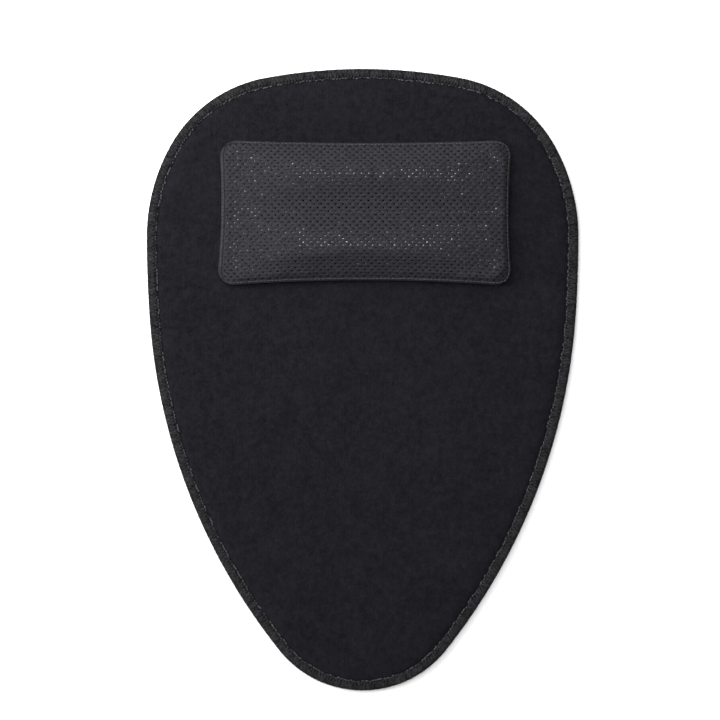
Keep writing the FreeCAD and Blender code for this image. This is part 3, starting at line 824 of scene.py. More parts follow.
def outline_arcs(sizes):
    """Ten arcs (centre, radius, first angle, last angle) anticlockwise round the panel."""
    half_width, half_length = (side / 2 for side in extent("edge_upper_looper_thread"))
    widest_y = half_length - sizes.widest_below_top
    crown, tip = sizes.crown_radius, sizes.tip_radius
    upper, lower = sizes.upper_side_radius, sizes.lower_side_radius
    crown_centre = np.array((0, half_length - crown))
    tip_centre = np.array((0, tip - half_length))
    upper_centre = np.array((half_width - upper, widest_y))
    lower_centre = np.array((half_width - lower, widest_y))

    def along(centre, distance, angle):
        return centre + distance * np.array((math.cos(angle), math.sin(angle)))

    def direction(start, end):
        return math.atan2(end[1] - start[1], end[0] - start[0])

    upper_sweep, lower_sweep = sizes.upper_side_sweep, -sizes.lower_side_sweep
    shoulder_centre, shoulder = joining_circle(
        along(upper_centre, upper, upper_sweep), upper_sweep, crown_centre, crown
    )
    taper_centre, taper = joining_circle(
        along(lower_centre, lower, lower_sweep), lower_sweep, tip_centre, tip
    )
    shoulder_end = direction(crown_centre, shoulder_centre)
    taper_end = direction(taper_centre, tip_centre)
    right = [
        (taper_centre, taper, taper_end, lower_sweep),
        (lower_centre, lower, lower_sweep, 0),
        (upper_centre, upper, 0, upper_sweep),
        (shoulder_centre, shoulder, upper_sweep, shoulder_end),
    ]
    mirror = np.array((-1, 1))
    left = [(c * mirror, r, math.pi - last, math.pi - first) for c, r, first, last in reversed(right)]
    crown_arc = (crown_centre, crown, shoulder_end, math.pi - shoulder_end)
    tip_arc = (tip_centre, tip, math.pi - taper_end, 2 * math.pi + taper_end)
    return right + [crown_arc] + left + [tip_arc]


def outline(sizes):
    """Points along the panel's edge, and the way out at each."""
    points, normals = [], []
    for centre, radius, first, last in outline_arcs(sizes):
        count = max(2, round(radius * abs(last - first) / sizes.mesh_spacing))
        for angle in np.linspace(first, last, count, endpoint=False):
            way_out = np.array((math.cos(angle), math.sin(angle)))
            points.append(centre + radius * way_out)
            normals.append(way_out)
    return np.array(points), np.array(normals)


def enclosed_area(points):
    """Area inside a closed row of points."""
    x, y = points[:, 0], points[:, 1]
    return abs(np.sum(x * np.roll(y, -1) - np.roll(x, -1) * y)) / 2


def panel_rings(sizes):
    """Plan positions of rings from the rim to the middle, and how far inside the edge each is."""
    points, normals = outline(sizes)
    close_rings, middle_rings, deepest = 14, 24, 46 * MM
    near = np.linspace(sizes.looper_wrap, sizes.rim_width + 2 * MM, close_rings)
    far = near[-1] + (deepest - near[-1]) * np.linspace(0, 1, close_rings)[1:] ** 1.5
    insets = np.concatenate((near, far))
    rings = points[None] - normals[None] * insets[:, None, None]
    centre = rings[-1].mean(axis=0)
    shares = np.linspace(1, 0, middle_rings + 2)[1:-1]
    inner = centre + (rings[-1] - centre)[None] * shares[:, None, None]
    depth = np.concatenate((insets, np.full(len(shares), deepest)))
    return np.concatenate((rings, inner)), depth, centre


def layer(name, rings, centre, bottom, top, material):
    """A closed layer between two heights, which are given for each point of each ring."""
    ring_count, count = rings.shape[:2]
    surfaces = []
    for heights in (bottom, top):
        heights = np.broadcast_to(heights, (ring_count, count))
        surfaces.append(np.dstack((rings, heights)).reshape(-1, 3))
        surfaces.append(np.array([[centre[0], centre[1], heights[-1].mean()]]))
    points = np.concatenate(surfaces)
    size = ring_count * count + 1
    faces = []
    for ring in range(ring_count - 1):
        outer, inner = ring * count, (ring + 1) * count
        faces += [quad[::-1] for quad in ring_faces(outer, inner, count)]
        faces += ring_faces(size + outer, size + inner, count)
    last = (ring_count - 1) * count
    for i in range(count):
        here, there = last + i, last + (i + 1) % count
        faces.append((there, here, size - 1))
        faces.append((size + here, size + there, 2 * size - 1))
    faces += ring_faces(0, size, count)
    return new_object(name, points, faces, material_named(material))


class WRAP_OT_panel(bpy.types.Operator):
    """Make the lining, the foam and the facing, pressed down under the overlock"""

    bl_idname = "wrap.make_panel"
    bl_label = "Padded panel"

    def execute(self, context):
        sizes = context.scene.wrap_panel
        rings, depth, centre = panel_rings(sizes)
        x, y = rings[..., 0], rings[..., 1]
        inside = depth[:, None] - sizes.rim_width
        rise = 1 - np.exp(-np.maximum(inside, 0) / sizes.foam_spring)
        rim_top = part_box("edge_needle_thread")[0].z
        lining_low, lining_high = heights("loop_lining")
        foam_low, foam_high = heights("foam_core")
        facing_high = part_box("outer_facing")[1].z
        needle_offset, groove_half_width = 0.4 * MM, 0.7 * MM
        needle = np.exp(-((inside + needle_offset) / groove_half_width) ** 2)
        wave_length, wave_start = 62 * MM, 12 * MM
        waves = gentle_waves(x, y, wave_length, 4) * sizes.nap_unevenness
        waves *= smooth_step(inside / wave_start)
        lift = facing_high - foam_low
        lining_top = rim_top + (lining_high - rim_top) * rise - 0.25 * MM * needle + waves
        foam_top = lining_low + (foam_high - lining_low) * rise - 0.2 * MM * needle + waves
        facing_low = lift * (1 - rise) + 0.1 * MM * needle
        facing_top = facing_low + foam_low
        lining = layer("loop_lining_cloth", rings, centre, foam_top, lining_top, "loop_fabric")
        foam = layer("foam_core_pad", rings, centre, facing_top, foam_top, "foam")
        facing = layer("outer_facing_cloth", rings, centre, facing_low, facing_top, "facing_fabric")
        area = float(enclosed_area(outline(sizes)[0]))
        seat(lining, "wrap", "loop_fabric", "loop_lining")
        seat(foam, "wrap", "foam", "foam_core")
        seat(facing, "wrap", "facing_fabric", "outer_facing")
        return {"FINISHED"}


# ---------------------------------------------------------------- the overlocked edge


def looper_stitch(name, sizes, pitch, face, wall, half_height):
    """One stitch of a looper thread: out over the edge and back to the next needle hole."""
    inset = sizes.needle_inset
    sway = 0.5 * pitch
    out = [
        (-sway, inset, face),
        (-0.62 * sway, 0.62 * inset, face),
        (-0.3 * sway, 0.26 * inset, face),
        (-0.1 * sway, 0.3 * MM, face + 0.25 * (wall - face)),
        (0, 0.25 * MM, wall),
    ]
    back = [(-x, y, z) for x, y, z in reversed(out)]
    width = sizes.looper_half_width
    purl_height = wall + 0.35 * (face - wall)
    purl = [(-1.3 * sway, 0.42 * MM, wall), (0, 0.32 * MM, purl_height), (1.3 * sway, 0.42 * MM, wall)]
    strands = [strand(path, width, half_height) for path in (out, back)]
    return thread_object(name, strands + [strand(purl, 0.55 * MM, 0.32 * MM, 5)])


def needle_stitch(name, sizes, pitch, low, high, bottom):
    """A needle stitch on top, and the small loop that it leaves underneath."""
    inset, width = sizes.needle_inset, sizes.needle_half_width
    reach = 0.46 * pitch
    over = [(-1, low), (-0.6, high), (0.6, high), (1, low)]
    over = [(share * reach, inset, height) for share, height in over]
    under = [(-0.3, 0.3), (0, 0.12), (0.3, 0.3)]
    under = [(share * reach, inset, bottom + height * MM) for share, height in under]
    return thread_object(name, [strand(over, width, 0.13 * MM), strand(under, width, 0.1 * MM)])


def sewn_row(name, points, closed, shape, pitch, material, seed):
    """A plain mesh of stitches along a row of points."""
    sizes = bpy.context.scene.wrap_stitching
    line = new_line(name, points, closed)
    values = {
        "Shape": shape,
        "Pitch": pitch,
        "Lean": sizes.lean,
        "Size Spread": sizes.size_spread,
        "Seed": seed,
        "Material": material_named(material),
    }
    use_nodes(line, "Stitch Row", values)
    plain_mesh(line)
    remove(shape)
    return line


class WRAP_OT_overlock(bpy.types.Operator):
    """Make the three threads of the overlocked edge"""

    bl_idname = "wrap.make_overlock"
    bl_label = "Overlocked edge"

    def execute(self, context):
        sizes = context.scene.wrap_stitching
        pitch = sizes.overlock_pitch
        points = outline(context.scene.wrap_panel)[0]
        line = np.column_stack((points, np.zeros(len(points))))
        upper_low, upper_high = heights("edge_upper_looper_thread")
        needle_low, needle_high = heights("edge_needle_thread")
        half_height = (needle_high - needle_low) / 2
        upper_face = upper_high - half_height
        upper = looper_stitch("upper_stitch", sizes, pitch, upper_face, upper_low, half_height)
        lower = looper_stitch("lower_stitch", sizes, pitch, half_height, upper_low, half_height)
        needle = needle_stitch("needle_stitch", sizes, pitch, needle_low, needle_high - 0.05 * MM, 0)
        rows = (
            ("edge_upper_looper_stitches", upper, "edge_upper_looper_thread", "overlock_thread", 11),
            ("edge_lower_looper_stitches", lower, "edge_lower_looper_thread", "overlock_thread", 12),
            ("edge_needle_stitches", needle, "edge_needle_thread", "needle_thread", 13),
        )
        for name, shape, node, material, seed in rows:
            row = sewn_row(name, line, True, shape, pitch, material, seed)
            seat(row, "wrap", material, node)
        return {"FINISHED"}


# ---------------------------------------------------------------- the gel pack


def round_corners(x, y, half_x, half_y, radius):
    """Move the points of a rectangle so that its corners become round."""
    u = np.clip((np.abs(x) - (half_x - radius)) / radius, 0, 1)
    v = np.clip((np.abs(y) - (half_y - radius)) / radius, 0, 1)
    new_x = np.abs(x) - u * radius + radius * u * np.sqrt(1 - v * v / 2)
    new_y = np.abs(y) - v * radius + radius * v * np.sqrt(1 - u * u / 2)
    return np.sign(x) * new_x, np.sign(y) * new_y


def drawn_in(x, y, pack):
    """Where a point of the pouch's plain rectangle lies, once the full pack draws its sides in."""
    low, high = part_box("pouch_back_panel")
    middle_x, middle_y = (low.x + high.x) / 2, (low.y + high.y) / 2
    length, width = extent("pouch_back_panel")
    u, v = x / (length / 2), y / (width / 2)
    far = (0.55 + 0.85 * (1 - u * u)) * pack.pull_top * smooth_step(v) * v
    near = (0.1 + (1 - u * u)) * pack.pull_bottom * smooth_step(-v) * v
    left = (0.35 * (1 + v) + (1 - v * v)) * pack.pull_ends * smooth_step(-u) * u
    right = (0.3 + (1 - v * v)) * pack.pull_ends * smooth_step(u) * u
    return middle_x + x - left - right, middle_y + y - far - near


def envelope_mesh(columns, rows, half_x, half_y, corner):
    """Two layers of film welded round the edge and along the middle row."""
    x, y = even_grid(columns, rows, (-half_x, -half_y), (half_x, half_y))
    puff = np.cos(x / half_x * math.pi / 2) ** 0.5 * np.abs(np.sin(y / half_y * math.pi)) ** 0.5
    x, y = round_corners(x, y, half_x, half_y, corner)
    start_height = 1.2 * MM
    top = np.arange(columns * rows).reshape(columns, rows)
    welded = np.zeros((columns, rows), bool)
    welded[[0, -1], :] = True
    welded[:, [0, -1]] = True
    welded[:, rows // 2] = True
    bottom = top.copy()
    bottom[~welded] = columns * rows + np.arange(np.count_nonzero(~welded))
    points = np.dstack((x, y, np.where(welded, 0, start_height * puff))).reshape(-1, 3)
    lower = np.dstack((x, y, -start_height * puff))[~welded]
    points = np.concatenate((points, lower))
    faces = []
    for i in range(columns - 1):
        for j in range(rows - 1):
            for index, step in ((top, 1), (bottom, -1)):
                quad = (index[i, j], index[i + 1, j], index[i + 1, j + 1], index[i, j + 1])
                faces.append(quad[::step])
    return points, faces, top, bottom


FILM_CLOTH = {
    "quality": 6,
    "mass": 0.2,
    "tension_stiffness": 25,
    "compression_stiffness": 25,
    "shear_stiffness": 8,
    "bending_stiffness": 0.2,
    "use_pressure": True,
}
SWELL_FRAMES = 20
FARTHEST_SWELL = 16 * MM


def inflate(film, pressure, frames):
    """Swell a closed film by simulation, with no point moving further than a cap."""
    before = np.array([vertex.co for vertex in film.data.vertices])
    cloth = film.modifiers.new("Cloth", "CLOTH")
    for name, value in FILM_CLOTH.items():
        setattr(cloth.settings, name, value)
    cloth.settings.uniform_pressure_force = pressure
    cloth.settings.effector_weights.gravity = 0
    cloth.collision_settings.use_collision = False
    cloth.point_cache.frame_start = 1
    cloth.point_cache.frame_end = frames
    for number in range(1, frames + 1):
        bpy.context.scene.frame_set(number)
    graph = bpy.context.evaluated_depsgraph_get()
    evaluated = film.evaluated_get(graph)
    after = np.array([vertex.co for vertex in evaluated.data.vertices])
    film.modifiers.clear()
    bpy.context.scene.frame_set(1)
    moved = after - before
    distance = np.linalg.norm(moved, axis=1)
    return before + moved * (np.minimum(distance, FARTHEST_SWELL) / np.maximum(distance, TINY))[:, None]


def swollen_cells(pack, columns, rows, half_x, half_y):
    """Plan positions of the film, and how far its two layers rise and sink, from 0 to 1."""
    points, faces, top, bottom = envelope_mesh(columns, rows, half_x, half_y, pack.film_corner)
    film = new_object("film_simulation", points, faces)
    points = inflate(film, pack.pressure, SWELL_FRAMES)
    remove(film)
    upper, lower = points[top], points[bottom]
    rise = np.maximum(upper[..., 2], 0) / max(upper[..., 2].max(), TINY)
    sink = np.maximum(-lower[..., 2], 0) / max(-lower[..., 2].min(), TINY)
    return upper[..., :2], rise, sink


def opened_middle(grid, middle, gap):
    """Part a grid at its middle row, to make room for the weld between the cells."""
    below, above = grid[:, : middle + 1].copy(), grid[:, middle:].copy()
    if grid.ndim == 3:
        below[..., 1] -= gap / 2
        above[..., 1] += gap / 2
    return np.concatenate((below, above), axis=1)


def directions(grid):
    """A grid of vectors, each made one long unless it is nothing."""
    return grid / np.maximum(np.linalg.norm(grid, axis=2, keepdims=True), TINY)


def with_border(grid, width, corner):
    """Add the welded border outside a grid of plan positions, and round its corners."""
    wide = np.pad(grid, ((1, 1), (1, 1), (0, 0)), mode="edge")
    core = np.abs(grid).max(axis=(0, 1)) - corner
    outward = directions(wide - np.clip(wide, -core, core))
    outward[1:-1, 1:-1] = 0
    side_share = 0.45
    outward[0, :, 0] -= side_share
    outward[-1, :, 0] += side_share
    outward[:, 0, 1] -= side_share
    outward[:, -1, 1] += side_share
    return wide + directions(outward) * width


def film_surfaces(pack):
    """The outer faces of the front and the back film, as grids of points, and the cells' rows."""
    ceiling, bottom = heights("gel_film_front")[1], heights("gel_film_back")[0]
    half_x, half_y = (side / 2 for side in extent("gel_film_front"))
    columns, rows = 85, 37
    cells_x, cells_y = half_x - pack.edge_weld, half_y - pack.edge_weld - pack.middle_weld / 2
    plan, rise, sink = swollen_cells(pack, columns, rows, cells_x, cells_y)
    middle = rows // 2
    plan = opened_middle(plan, middle, pack.middle_weld)
    plan = with_border(plan, pack.edge_weld, pack.film_corner)
    rise = np.pad(opened_middle(rise, middle, 0), 1)
    sink = np.pad(opened_middle(sink, middle, 0), 1)
    x, y = plan[..., 0], plan[..., 1]
    fullness = smooth_step((x + half_x) / pack.thin_reach)
    thin = pack.thin_end + (1 - pack.thin_end) * fullness
    thin *= pack.near_side + (1 - pack.near_side) * smooth_step((y + half_y) / pack.side_reach)
    thin *= pack.far_side + (1 - pack.far_side) * smooth_step((half_y - y) / pack.side_reach)
    lift = rise**0.8 * thin
    lift /= lift.max()
    weld = bottom + (ceiling - bottom) * pack.weld_share * (0.45 + 0.55 * fullness)
    swell = smooth_step(rise * 3)
    wrinkles = creases(x, y, pack.crease_size, 21) * pack.crease_depth
    fold_half_width, fold_start = 1.8 * MM, 10 * MM
    fold = np.exp(-(((x - pack.fold_x) / fold_half_width) ** 2)) * smooth_step(y / fold_start)
    top_height = weld + (ceiling - bottom) * (1 - pack.weld_share) * lift
    top_height += swell * (wrinkles - fold * pack.fold_depth) - 0.5 * pack.crease_depth * swell
    bottom_height = weld - (weld - bottom) * np.minimum(1, 1.6 * sink) ** 0.7
    ruffle_height, ruffle_length = 0.35 * MM, 3.1 * MM
    ruffle = ruffle_height * np.sin(x / ruffle_length) * (1 - smooth_step(rise * 8))
    plan_x, plan_y = drawn_in(x, y, pack)
    front = np.dstack((plan_x, plan_y, np.minimum(top_height + ruffle, ceiling)))
    back = np.dstack((plan_x, plan_y, np.minimum(bottom_height, top_height) + ruffle))
    thickness = pack.film_thickness
    front[..., 2] = np.maximum(front[..., 2], back[..., 2] + 2 * thickness)
    back[..., 2] = np.maximum(back[..., 2], bottom)
    return front, back, middle


def lowered(grid, distance):
    """The same grid of points, further down."""
    moved = grid.copy()
    moved[..., 2] -= distance
    return moved


class WRAP_OT_gel_pack(bpy.types.Operator):
    """Make the gel pack's film and the gel in its two cells, swollen by simulation"""

    bl_idname = "wrap.make_gel_pack"
    bl_label = "Gel pack"

    def execute(self, context):
        pack = context.scene.wrap_pack
        front, back, middle = film_surfaces(pack)
        thickness = pack.film_thickness
        inner_front, inner_back = lowered(front, thickness), lowered(back, -thickness)
        film_front = slab_between("gel_film_front_skin", inner_front, front, "film")
        film_back = slab_between("gel_film_back_skin", back, inner_back, "film")
        rows = {"lower": slice(1, middle + 2), "upper": slice(middle + 2, -1)}
        clearance = 0.02 * MM
        for row, span in rows.items():
            gel_top = lowered(inner_front[1:-1, span], clearance)
            gel_bottom = inner_back[1:-1, span].copy()
            gel_top[..., 2] = np.maximum(gel_top[..., 2], gel_bottom[..., 2] + clearance)
            gel = slab_between(f"gel_cell_{row}", gel_bottom, gel_top, "gel")
            seat(gel, "gel_pack", "gel", f"gel_fill_{row}")
        seat(film_front, "gel_pack", "film", "gel_film_front")
        seat(film_back, "gel_pack", "film", "gel_film_back")
        return {"FINISHED"}


# ---------------------------------------------------------------- the pouch


def sheet_held_over(obstacle, edge_height, slack, rounds):
    """Heights of a sheet that is held at its edge and stretched over an obstacle."""
    height = np.maximum(obstacle, edge_height)
    height[[0, -1], :] = edge_height
    height[:, [0, -1]] = edge_height
    for _ in range(rounds):
        across = height[2:, 1:-1] + height[:-2, 1:-1]
        along = height[1:-1, 2:] + height[1:-1, :-2]
        free = (across + along) / 4 - slack * MM
        height[1:-1, 1:-1] = np.maximum(free, obstacle[1:-1, 1:-1])
    return height


def widened(height):
    """The highest of each point's neighbours, so that nothing stands out between two points."""
    padded = np.pad(height, 1, mode="edge")
    columns, rows = height.shape
    shifts = [padded[i : i + columns, j : j + rows] for i in range(3) for j in range(3)]
    return np.maximum.reduce(shifts)


def pouch_plan(pack, length, width, columns, rows):
    """X of a round-cornered grid as large as the pouch, and where its points lie on the full pack."""
    half_x, half_y = length / 2, width / 2
    x, y = even_grid(columns, rows, (-half_x, -half_y), (half_x, half_y))
    x, y = round_corners(x, y, half_x, half_y, pack.pouch_corner)
    return x, *drawn_in(x, y, pack)


FILM_GAP = 0.12 * MM
RELAX_ROUNDS = 1500


def pouch_surface(pack, length, width):
    """The mesh's surface over the gel pack, as a grid of points one millimetre apart."""
    columns, rows = round(length / MM) + 1, round(width / MM) + 1
    x, plan_x, plan_y = pouch_plan(pack, length, width, columns, rows)
    film = bpy.data.objects["gel_film_front_skin"]
    tree = BVHTree.FromPolygons(
        [vertex.co for vertex in film.data.vertices], [face.vertices for face in film.data.polygons]
    )
    ceiling, down = 0.1, Vector((0, 0, -1))
    edge_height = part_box("pouch_seam_thread")[0].z
    obstacle = np.zeros_like(x)
    for place in np.ndindex(*x.shape):
        hit = tree.ray_cast(Vector((plan_x[place], plan_y[place], ceiling)), down)[0]
        obstacle[place] = hit.z + FILM_GAP + pack.mesh_thickness if hit else edge_height
    height = sheet_held_over(widened(obstacle), edge_height, pack.slack, RELAX_ROUNDS)
    return np.dstack((plan_x, plan_y, height))


def sample_grid(grid, u, v):
    """Points of a grid at shares of its length and width."""
    columns, rows = grid.shape[:2]
    x, y = np.clip(u, 0, 1) * (columns - 1), np.clip(v, 0, 1) * (rows - 1)
    i, j = np.minimum(x.astype(int), columns - 2), np.minimum(y.astype(int), rows - 2)
    s, t = (x - i)[..., None], (y - j)[..., None]
    lower = grid[i, j] * (1 - s) + grid[i + 1, j] * s
    upper = grid[i, j + 1] * (1 - s) + grid[i + 1, j + 1] * s
    return lower * (1 - t) + upper * t


def pouch_border(length, width, inset, count=90):
    """Shares of the pouch's length and width along a line inside its edge, anticlockwise."""
    left, right = inset / length, 1 - inset / length
    low, high = inset / width, 1 - inset / width
    sides = []
    corners = ((left, low), (right, low), (right, high), (left, high))
    counts = (2 * count, count, 2 * count, count)
    for (start, end), steps in zip(zip(corners, corners[1:] + corners[:1]), counts):
        share = np.linspace(0, 1, steps, endpoint=False)[:, None]
        sides.append(np.array(start) * (1 - share) + np.array(end) * share)
    return np.concatenate(sides)


def perforated_cell(pack):
    """One cell of the mesh: twelve quads between its outline and its hole."""
    half_x, half_y = pack.hole_pitch / 2, pack.row_pitch / 2
    outer = [(half_x, 0), (half_x, half_y), (half_x / 2, half_y), (0, half_y), (-half_x / 2, half_y)]
    outer += [(-half_x, half_y)] + [(-x, -y) for x, y in outer] + [(half_x, -half_y)]
    points = [(x, y, 0) for x, y in outer]
    count = len(points)
    for x, y in outer:
        angle = math.atan2(y / half_y, x / half_x)
        points.append((pack.hole_half_length * math.cos(angle), pack.hole_half_width * math.sin(angle), 0))
    return new_object("mesh_cell", points, ring_faces(0, count, count))


def surface_object(grid):
    """A helper that carries the pouch's surface and its cloth coordinates."""
    columns, rows = grid.shape[:2]
    helper = new_object("pouch_surface", grid.reshape(-1, 3), grid_faces(columns, rows))
    u, v = np.meshgrid(np.linspace(0, 1, columns), np.linspace(0, 1, rows), indexing="ij")
    shares = np.dstack((u, v)).reshape(-1, 2)
    corners = np.zeros(len(helper.data.loops), np.int32)
    helper.data.loops.foreach_get("vertex_index", corners)
    uvs = helper.data.uv_layers.new(name="cloth")
    uvs.data.foreach_set("uv", shares[corners].astype(np.float32).ravel())
    return helper


def make_mesh(pack, grid, length, width):
    """The perforated mesh, with a thickness."""
    helper, cell = surface_object(grid), perforated_cell(pack)
    mesh = new_object("pouch_mesh", [(0, 0, 0)], [])
    values = {
        "Surface": helper,
        "Cell": cell,
        "Columns": math.ceil(length / pack.hole_pitch) + 2,
        "Rows": math.ceil(width / pack.row_pitch) + 2,
        "Hole Pitch": pack.hole_pitch,
        "Row Pitch": pack.row_pitch,
        "Length": length,
        "Width": width,
        "Material": material_named("mesh_fabric"),
    }
    use_nodes(mesh, "Perforated Sheet", values)
    thicken = mesh.modifiers.new("Thickness", "SOLIDIFY")
    thicken.thickness = pack.mesh_thickness
    thicken.offset = -1
    plain_mesh(mesh)
    mesh.data.shade_smooth()
    remove(helper, cell)
    return mesh


def make_folded_edge(grid, length, width):
    """The mesh's folded edge: a flattened roll round the pouch, wider along the mouth."""
    section = ((1, 0.12), (0.55, 0.42), (0.2, 0.52), (0.04, 0.35))
    section += ((0, 0.05), (0.05, -0.25), (0.3, -0.4), (1, -0.1))
    seam_side, mouth_side = 1.7 * MM, 2.4 * MM
    loops = []
    for share, height in section:
        outer = pouch_border(length, width, 0)
        inner = pouch_border(length, width, seam_side * share)
        wide = mouth_side * share / length
        line = inner.copy()
        at_mouth = smooth_step(1 - (outer[:, 0] * length) / (2 * mouth_side))
        line[:, 0] = np.where(outer[:, 0] < 0.5, np.maximum(inner[:, 0], wide * at_mouth), inner[:, 0])
        points = sample_grid(grid, line[:, 0], line[:, 1])
        points[:, 2] += height * MM
        loops.append(points)
    count = len(loops[0])
    faces = []
    for k in range(len(loops)):
        faces += ring_faces(((k + 1) % len(loops)) * count, k * count, count)
    return new_object("pouch_folded_edge", np.concatenate(loops), faces, material_named("mesh_fabric"))


def make_back(pack, length, width):
    """The pouch's back: a close-woven sheet that sags a little between the hook tapes."""
    low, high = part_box("pouch_back_panel")
    x, plan_x, plan_y = pouch_plan(pack, length, width, columns=93, rows=47)
    half_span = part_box("hook_strip_right")[0].x - (low.x + high.x) / 2
    sag = pack.back_sag * np.cos(np.clip(x / half_span, -1, 1) * math.pi / 2) ** 2
    bottom = np.dstack((plan_x, plan_y, low.z - sag))
    top = np.dstack((plan_x, plan_y, high.z - sag))
    return slab_between("pouch_back_sheet", bottom, top, "pouch_fabric")


def lock_stitch(name, pitch, half_width, drop=0.12 * MM):
    """One stitch of a plain seam, lying along X, with its ends going into the cloth."""
    reach = 0.42 * pitch
    path = [(-reach, 0, -drop), (-0.6 * reach, 0, drop), (0.6 * reach, 0, drop), (reach, 0, -drop)]
    return thread_object(name, [strand(path, half_width, 0.16 * MM)])


class WRAP_OT_pouch(bpy.types.Operator):
    """Make the mesh front, its folded edge, the back and the two threads of the pouch"""

    bl_idname = "wrap.make_pouch"
    bl_label = "Mesh pouch"

    def execute(self, context):
        pack, stitching = context.scene.wrap_pack, context.scene.wrap_stitching
        length, width = extent("pouch_back_panel")
        grid = pouch_surface(pack, length, width)
        mesh = make_mesh(pack, grid, length, width)
        edge = make_folded_edge(grid, length, width)
        back = make_back(pack, length, width)
        seat(mesh, "pouch", "mesh_fabric", "pouch_mesh_front")
        seat(edge, "pouch", "mesh_fabric")
        seat(back, "pouch", "pouch_fabric", "pouch_back_panel")

        thread_above_mesh, mouth_margin = 0.5 * MM, 1 * MM
        line = pouch_border(length, width, pack.seam_inset)
        thread = sample_grid(grid, line[:, 0], line[:, 1])
        thread[:, 2] += thread_above_mesh
        mouth = line[:, 0] < (pack.pouch_corner + mouth_margin) / length
        start = int(np.argmin(mouth))
        along = np.roll(np.arange(len(line)), -start)
        seam = thread[[i for i in along if not mouth[i]]]
        hem = [i for i in range(len(line)) if line[i, 0] <= pack.seam_inset / length + TINY]
        hem = [i for i in hem if pack.pouch_corner < line[i, 1] * width < width - pack.pouch_corner]
        rows = (
            ("pouch_seam_stitches", seam, "pouch_seam_thread", 31),
            ("pouch_mouth_hem_stitches", thread[hem], "pouch_mouth_hem_thread", 32),
        )
        flattening = [mesh, edge]
        for name, points, node, seed in rows:
            shape = lock_stitch("pouch_stitch", stitching.seam_pitch, stitching.seam_half_width)
            row = sewn_row(name, points, False, shape, stitching.seam_pitch, "needle_thread", seed)
            seat(row, "pouch", "needle_thread", node)
            flattening.append(row)
        for piece in flattening:
            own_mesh(piece)
        return {"FINISHED"}


# ---------------------------------------------------------------- the hook tapes


def hook_shape(sizes, low, high):
    """One hook, hanging from the tape and curled over at its end."""
    reach = 0.42 * MM
    path = [
        (-0.3 * reach, 0, high + 0.05 * MM),
        (-0.3 * reach, 0, low + 0.55 * (high - low)),
        (0, 0, low + 0.2 * (high - low)),
        (0.6 * reach, 0, low + 0.14 * (high - low)),
        (reach, 0, low + 0.42 * (high - low)),
    ]
    shifted = [(x, y, z - high) for x, y, z in path]
    return thread_object("hook", [strand(shifted, sizes.hook_half_width, sizes.hook_half_width, 4)])


def tape_body(name, low, high, thickness):
    """The woven tape, with a soft ridge along each selvedge."""
    x, y = even_grid(21, 39, low, high)
    edge = np.minimum(x - low.x, high.x - x)
    ridge_height, ridge_inset, ridge_half_width = 0.1 * MM, 1.1 * MM, 0.7 * MM
    ridge = ridge_height * np.exp(-((edge - ridge_inset) / ridge_half_width) ** 2)
    rolled_depth, rolled_width = 0.12 * MM, 0.4 * MM
    rolled = rolled_depth * np.exp(-edge / rolled_width)
    top = np.dstack((x, y, np.full_like(x, high.z) - rolled))
    bottom = np.dstack((x, y, np.full_like(x, high.z - thickness) - ridge + rolled))
    return slab_between(name, bottom, top, "hook_tape")


def rectangle_line(low, high, inset, height):
    """A closed row of points inside a box's sides."""
    left, right, near, far = low.x + inset, high.x - inset, low.y + inset, high.y - inset
    corners = np.array(((left, near), (right, near), (right, far), (left, far)))
    points = []
    for start, end in zip(corners, np.roll(corners, -1, axis=0)):
        for share in np.linspace(0, 1, 12, endpoint=False):
            points.append((*(start * (1 - share) + end * share), height))
    return np.array(points)


class WRAP_OT_hook_tapes(bpy.types.Operator):
    """Make the two hook tapes on the pouch's back, and the stitches that hold them"""

    bl_idname = "wrap.make_hook_tapes"
    bl_label = "Hook tapes"

    def execute(self, context):
        sizes, stitching = context.scene.wrap_hooks, context.scene.wrap_stitching
        for seed, side in enumerate(("left", "right"), start=41):
            node = f"hook_strip_{side}"
            low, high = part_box(node)
            stitch_low, tape_bottom = heights(f"{node}_stitching")
            tape = tape_body(f"hook_tape_{side}", low, high, high.z - tape_bottom)
            hook = hook_shape(sizes, low.z, tape_bottom)
            field = (high.x - low.x - 2 * sizes.selvedge, high.y - low.y - 2 * sizes.selvedge)
            values = {
                "Shape": hook,
                "Lean": 0.35,
                "Size Spread": 0.06,
                "Seed": seed,
                "Material": material_named("hook_tape"),
                "Columns": int(field[0] / sizes.column_pitch),
                "Rows": int(field[1] / sizes.hook_row_pitch),
                "Column Pitch": sizes.column_pitch,
                "Row Pitch": sizes.hook_row_pitch,
                "Centre": ((low.x + high.x) / 2, (low.y + high.y) / 2, tape_bottom),
            }
            use_nodes(tape, "Hook Field", values)
            plain_mesh(tape)
            remove(hook)
            seat(tape, "pouch", "hook_tape", node)
            line = rectangle_line(low, high, sizes.selvedge / 2, (stitch_low + tape_bottom) / 2)
            shape = lock_stitch("tape_stitch", stitching.seam_pitch, stitching.seam_half_width, -0.1 * MM)
            name = f"hook_tape_{side}_stitches"
            row = sewn_row(name, line, True, shape, stitching.seam_pitch, "needle_thread", seed + 10)
            seat(row, "pouch", "needle_thread", f"{node}_stitching")
        return {"FINISHED"}


# ---------------------------------------------------------------- the stage


def soft_light(name, place, target, width, power):
    """A square area light that faces a point."""
    light = bpy.data.lights.new(name, "AREA")
    light.shape = "SQUARE"
    light.size = width
    light.energy = power
    lamp = bpy.data.objects.new(name, light)
    lamp.location = place
    lamp.visible_camera = False
    lamp.rotation_euler = (Vector(target) - Vector(place)).to_track_quat("-Z", "Y").to_euler()
    bpy.context.scene.collection.objects.link(lamp)
    return lamp


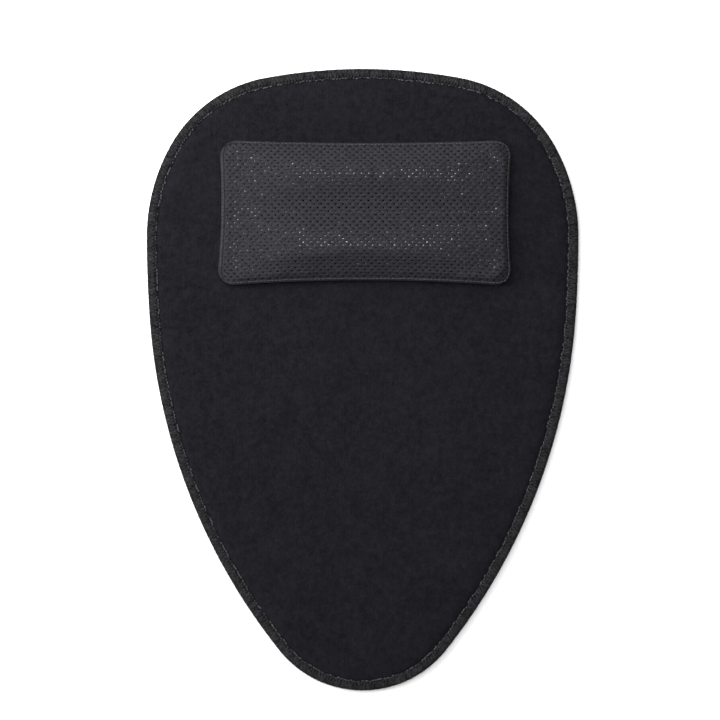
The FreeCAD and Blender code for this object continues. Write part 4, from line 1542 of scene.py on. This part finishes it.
class WRAP_OT_stage(bpy.types.Operator):
    """Make the pale floor, the soft lights and the camera above the panel"""

    bl_idname = "wrap.make_stage"
    bl_label = "Stage"

    def execute(self, context):
        scene, sizes = context.scene, context.scene.wrap_stage
        reach, height = 3.0, -0.2 * MM
        corners = ((-reach, -reach), (reach, -reach), (reach, reach), (-reach, reach))
        points = [(*corner, height) for corner in corners]
        floor = new_object("floor", points, [(0, 1, 2, 3)], material_named("pale_floor"))
        world = bpy.data.worlds.new("studio")
        world.use_nodes = True
        background = world.node_tree.nodes["Background"].inputs
        background["Color"].default_value = (1, 1, 1, 1)
        background["Strength"].default_value = sizes.world
        scene.world = world
        scene.view_settings.view_transform = "Standard"
        middle = (0, 0.05, 0)
        key = soft_light("key", (-1.5, 0.35, 0.6), middle, 1.2, sizes.key)
        key.visible_glossy = False
        soft_light("back", (-0.2, 0.5, 0.45), middle, 0.4, sizes.back)
        soft_light("overhead", (0.0, 0.42, 1.35), middle, 0.75, sizes.overhead)
        soft_light("fill", (-0.4, -2.0, 0.8), middle, 1.2, sizes.fill)
        lens = bpy.data.cameras.new("camera")
        lens.lens = sizes.lens
        distance = sizes.field * lens.lens / lens.sensor_width
        camera = bpy.data.objects.new("camera", lens)
        camera.location = (sizes.aim_x, sizes.aim_y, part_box("loop_lining")[1].z + distance)
        scene.collection.objects.link(camera)
        scene.camera = camera
        return {"FINISHED"}


# ---------------------------------------------------------------- the add-on


class WRAP_PT_sidebar(bpy.types.Panel):
    """The steps that build the wrap, in order"""

    bl_idname = "WRAP_PT_sidebar"
    bl_label = "Cold compression wrap"
    bl_space_type = "VIEW_3D"
    bl_region_type = "UI"
    bl_category = "Wrap"

    def draw(self, context):
        for operator in STEPS:
            self.layout.operator(operator.bl_idname)


STEPS = (
    WRAP_OT_stage,
    WRAP_OT_panel,
    WRAP_OT_overlock,
    WRAP_OT_gel_pack,
    WRAP_OT_hook_tapes,
    WRAP_OT_pouch,
)
GROUPS = {
    "wrap_panel": WRAP_PG_panel,
    "wrap_stitching": WRAP_PG_stitching,
    "wrap_pack": WRAP_PG_pack,
    "wrap_hooks": WRAP_PG_hooks,
    "wrap_colours": WRAP_PG_colours,
    "wrap_stage": WRAP_PG_stage,
}


def register():
    for group in (*GROUPS.values(), *STEPS, WRAP_PT_sidebar):
        bpy.utils.register_class(group)
    for name, group in GROUPS.items():
        setattr(bpy.types.Scene, name, PointerProperty(type=group))


def unregister():
    for name in GROUPS:
        delattr(bpy.types.Scene, name)
    for group in (WRAP_PT_sidebar, *reversed(STEPS), *GROUPS.values()):
        bpy.utils.unregister_class(group)


def main():
    """Build the wrap."""
    register()
    for step in STEPS:
        group, name = step.bl_idname.split(".")
        getattr(getattr(bpy.ops, group), name)()


if __name__ == "__main__":
    main()
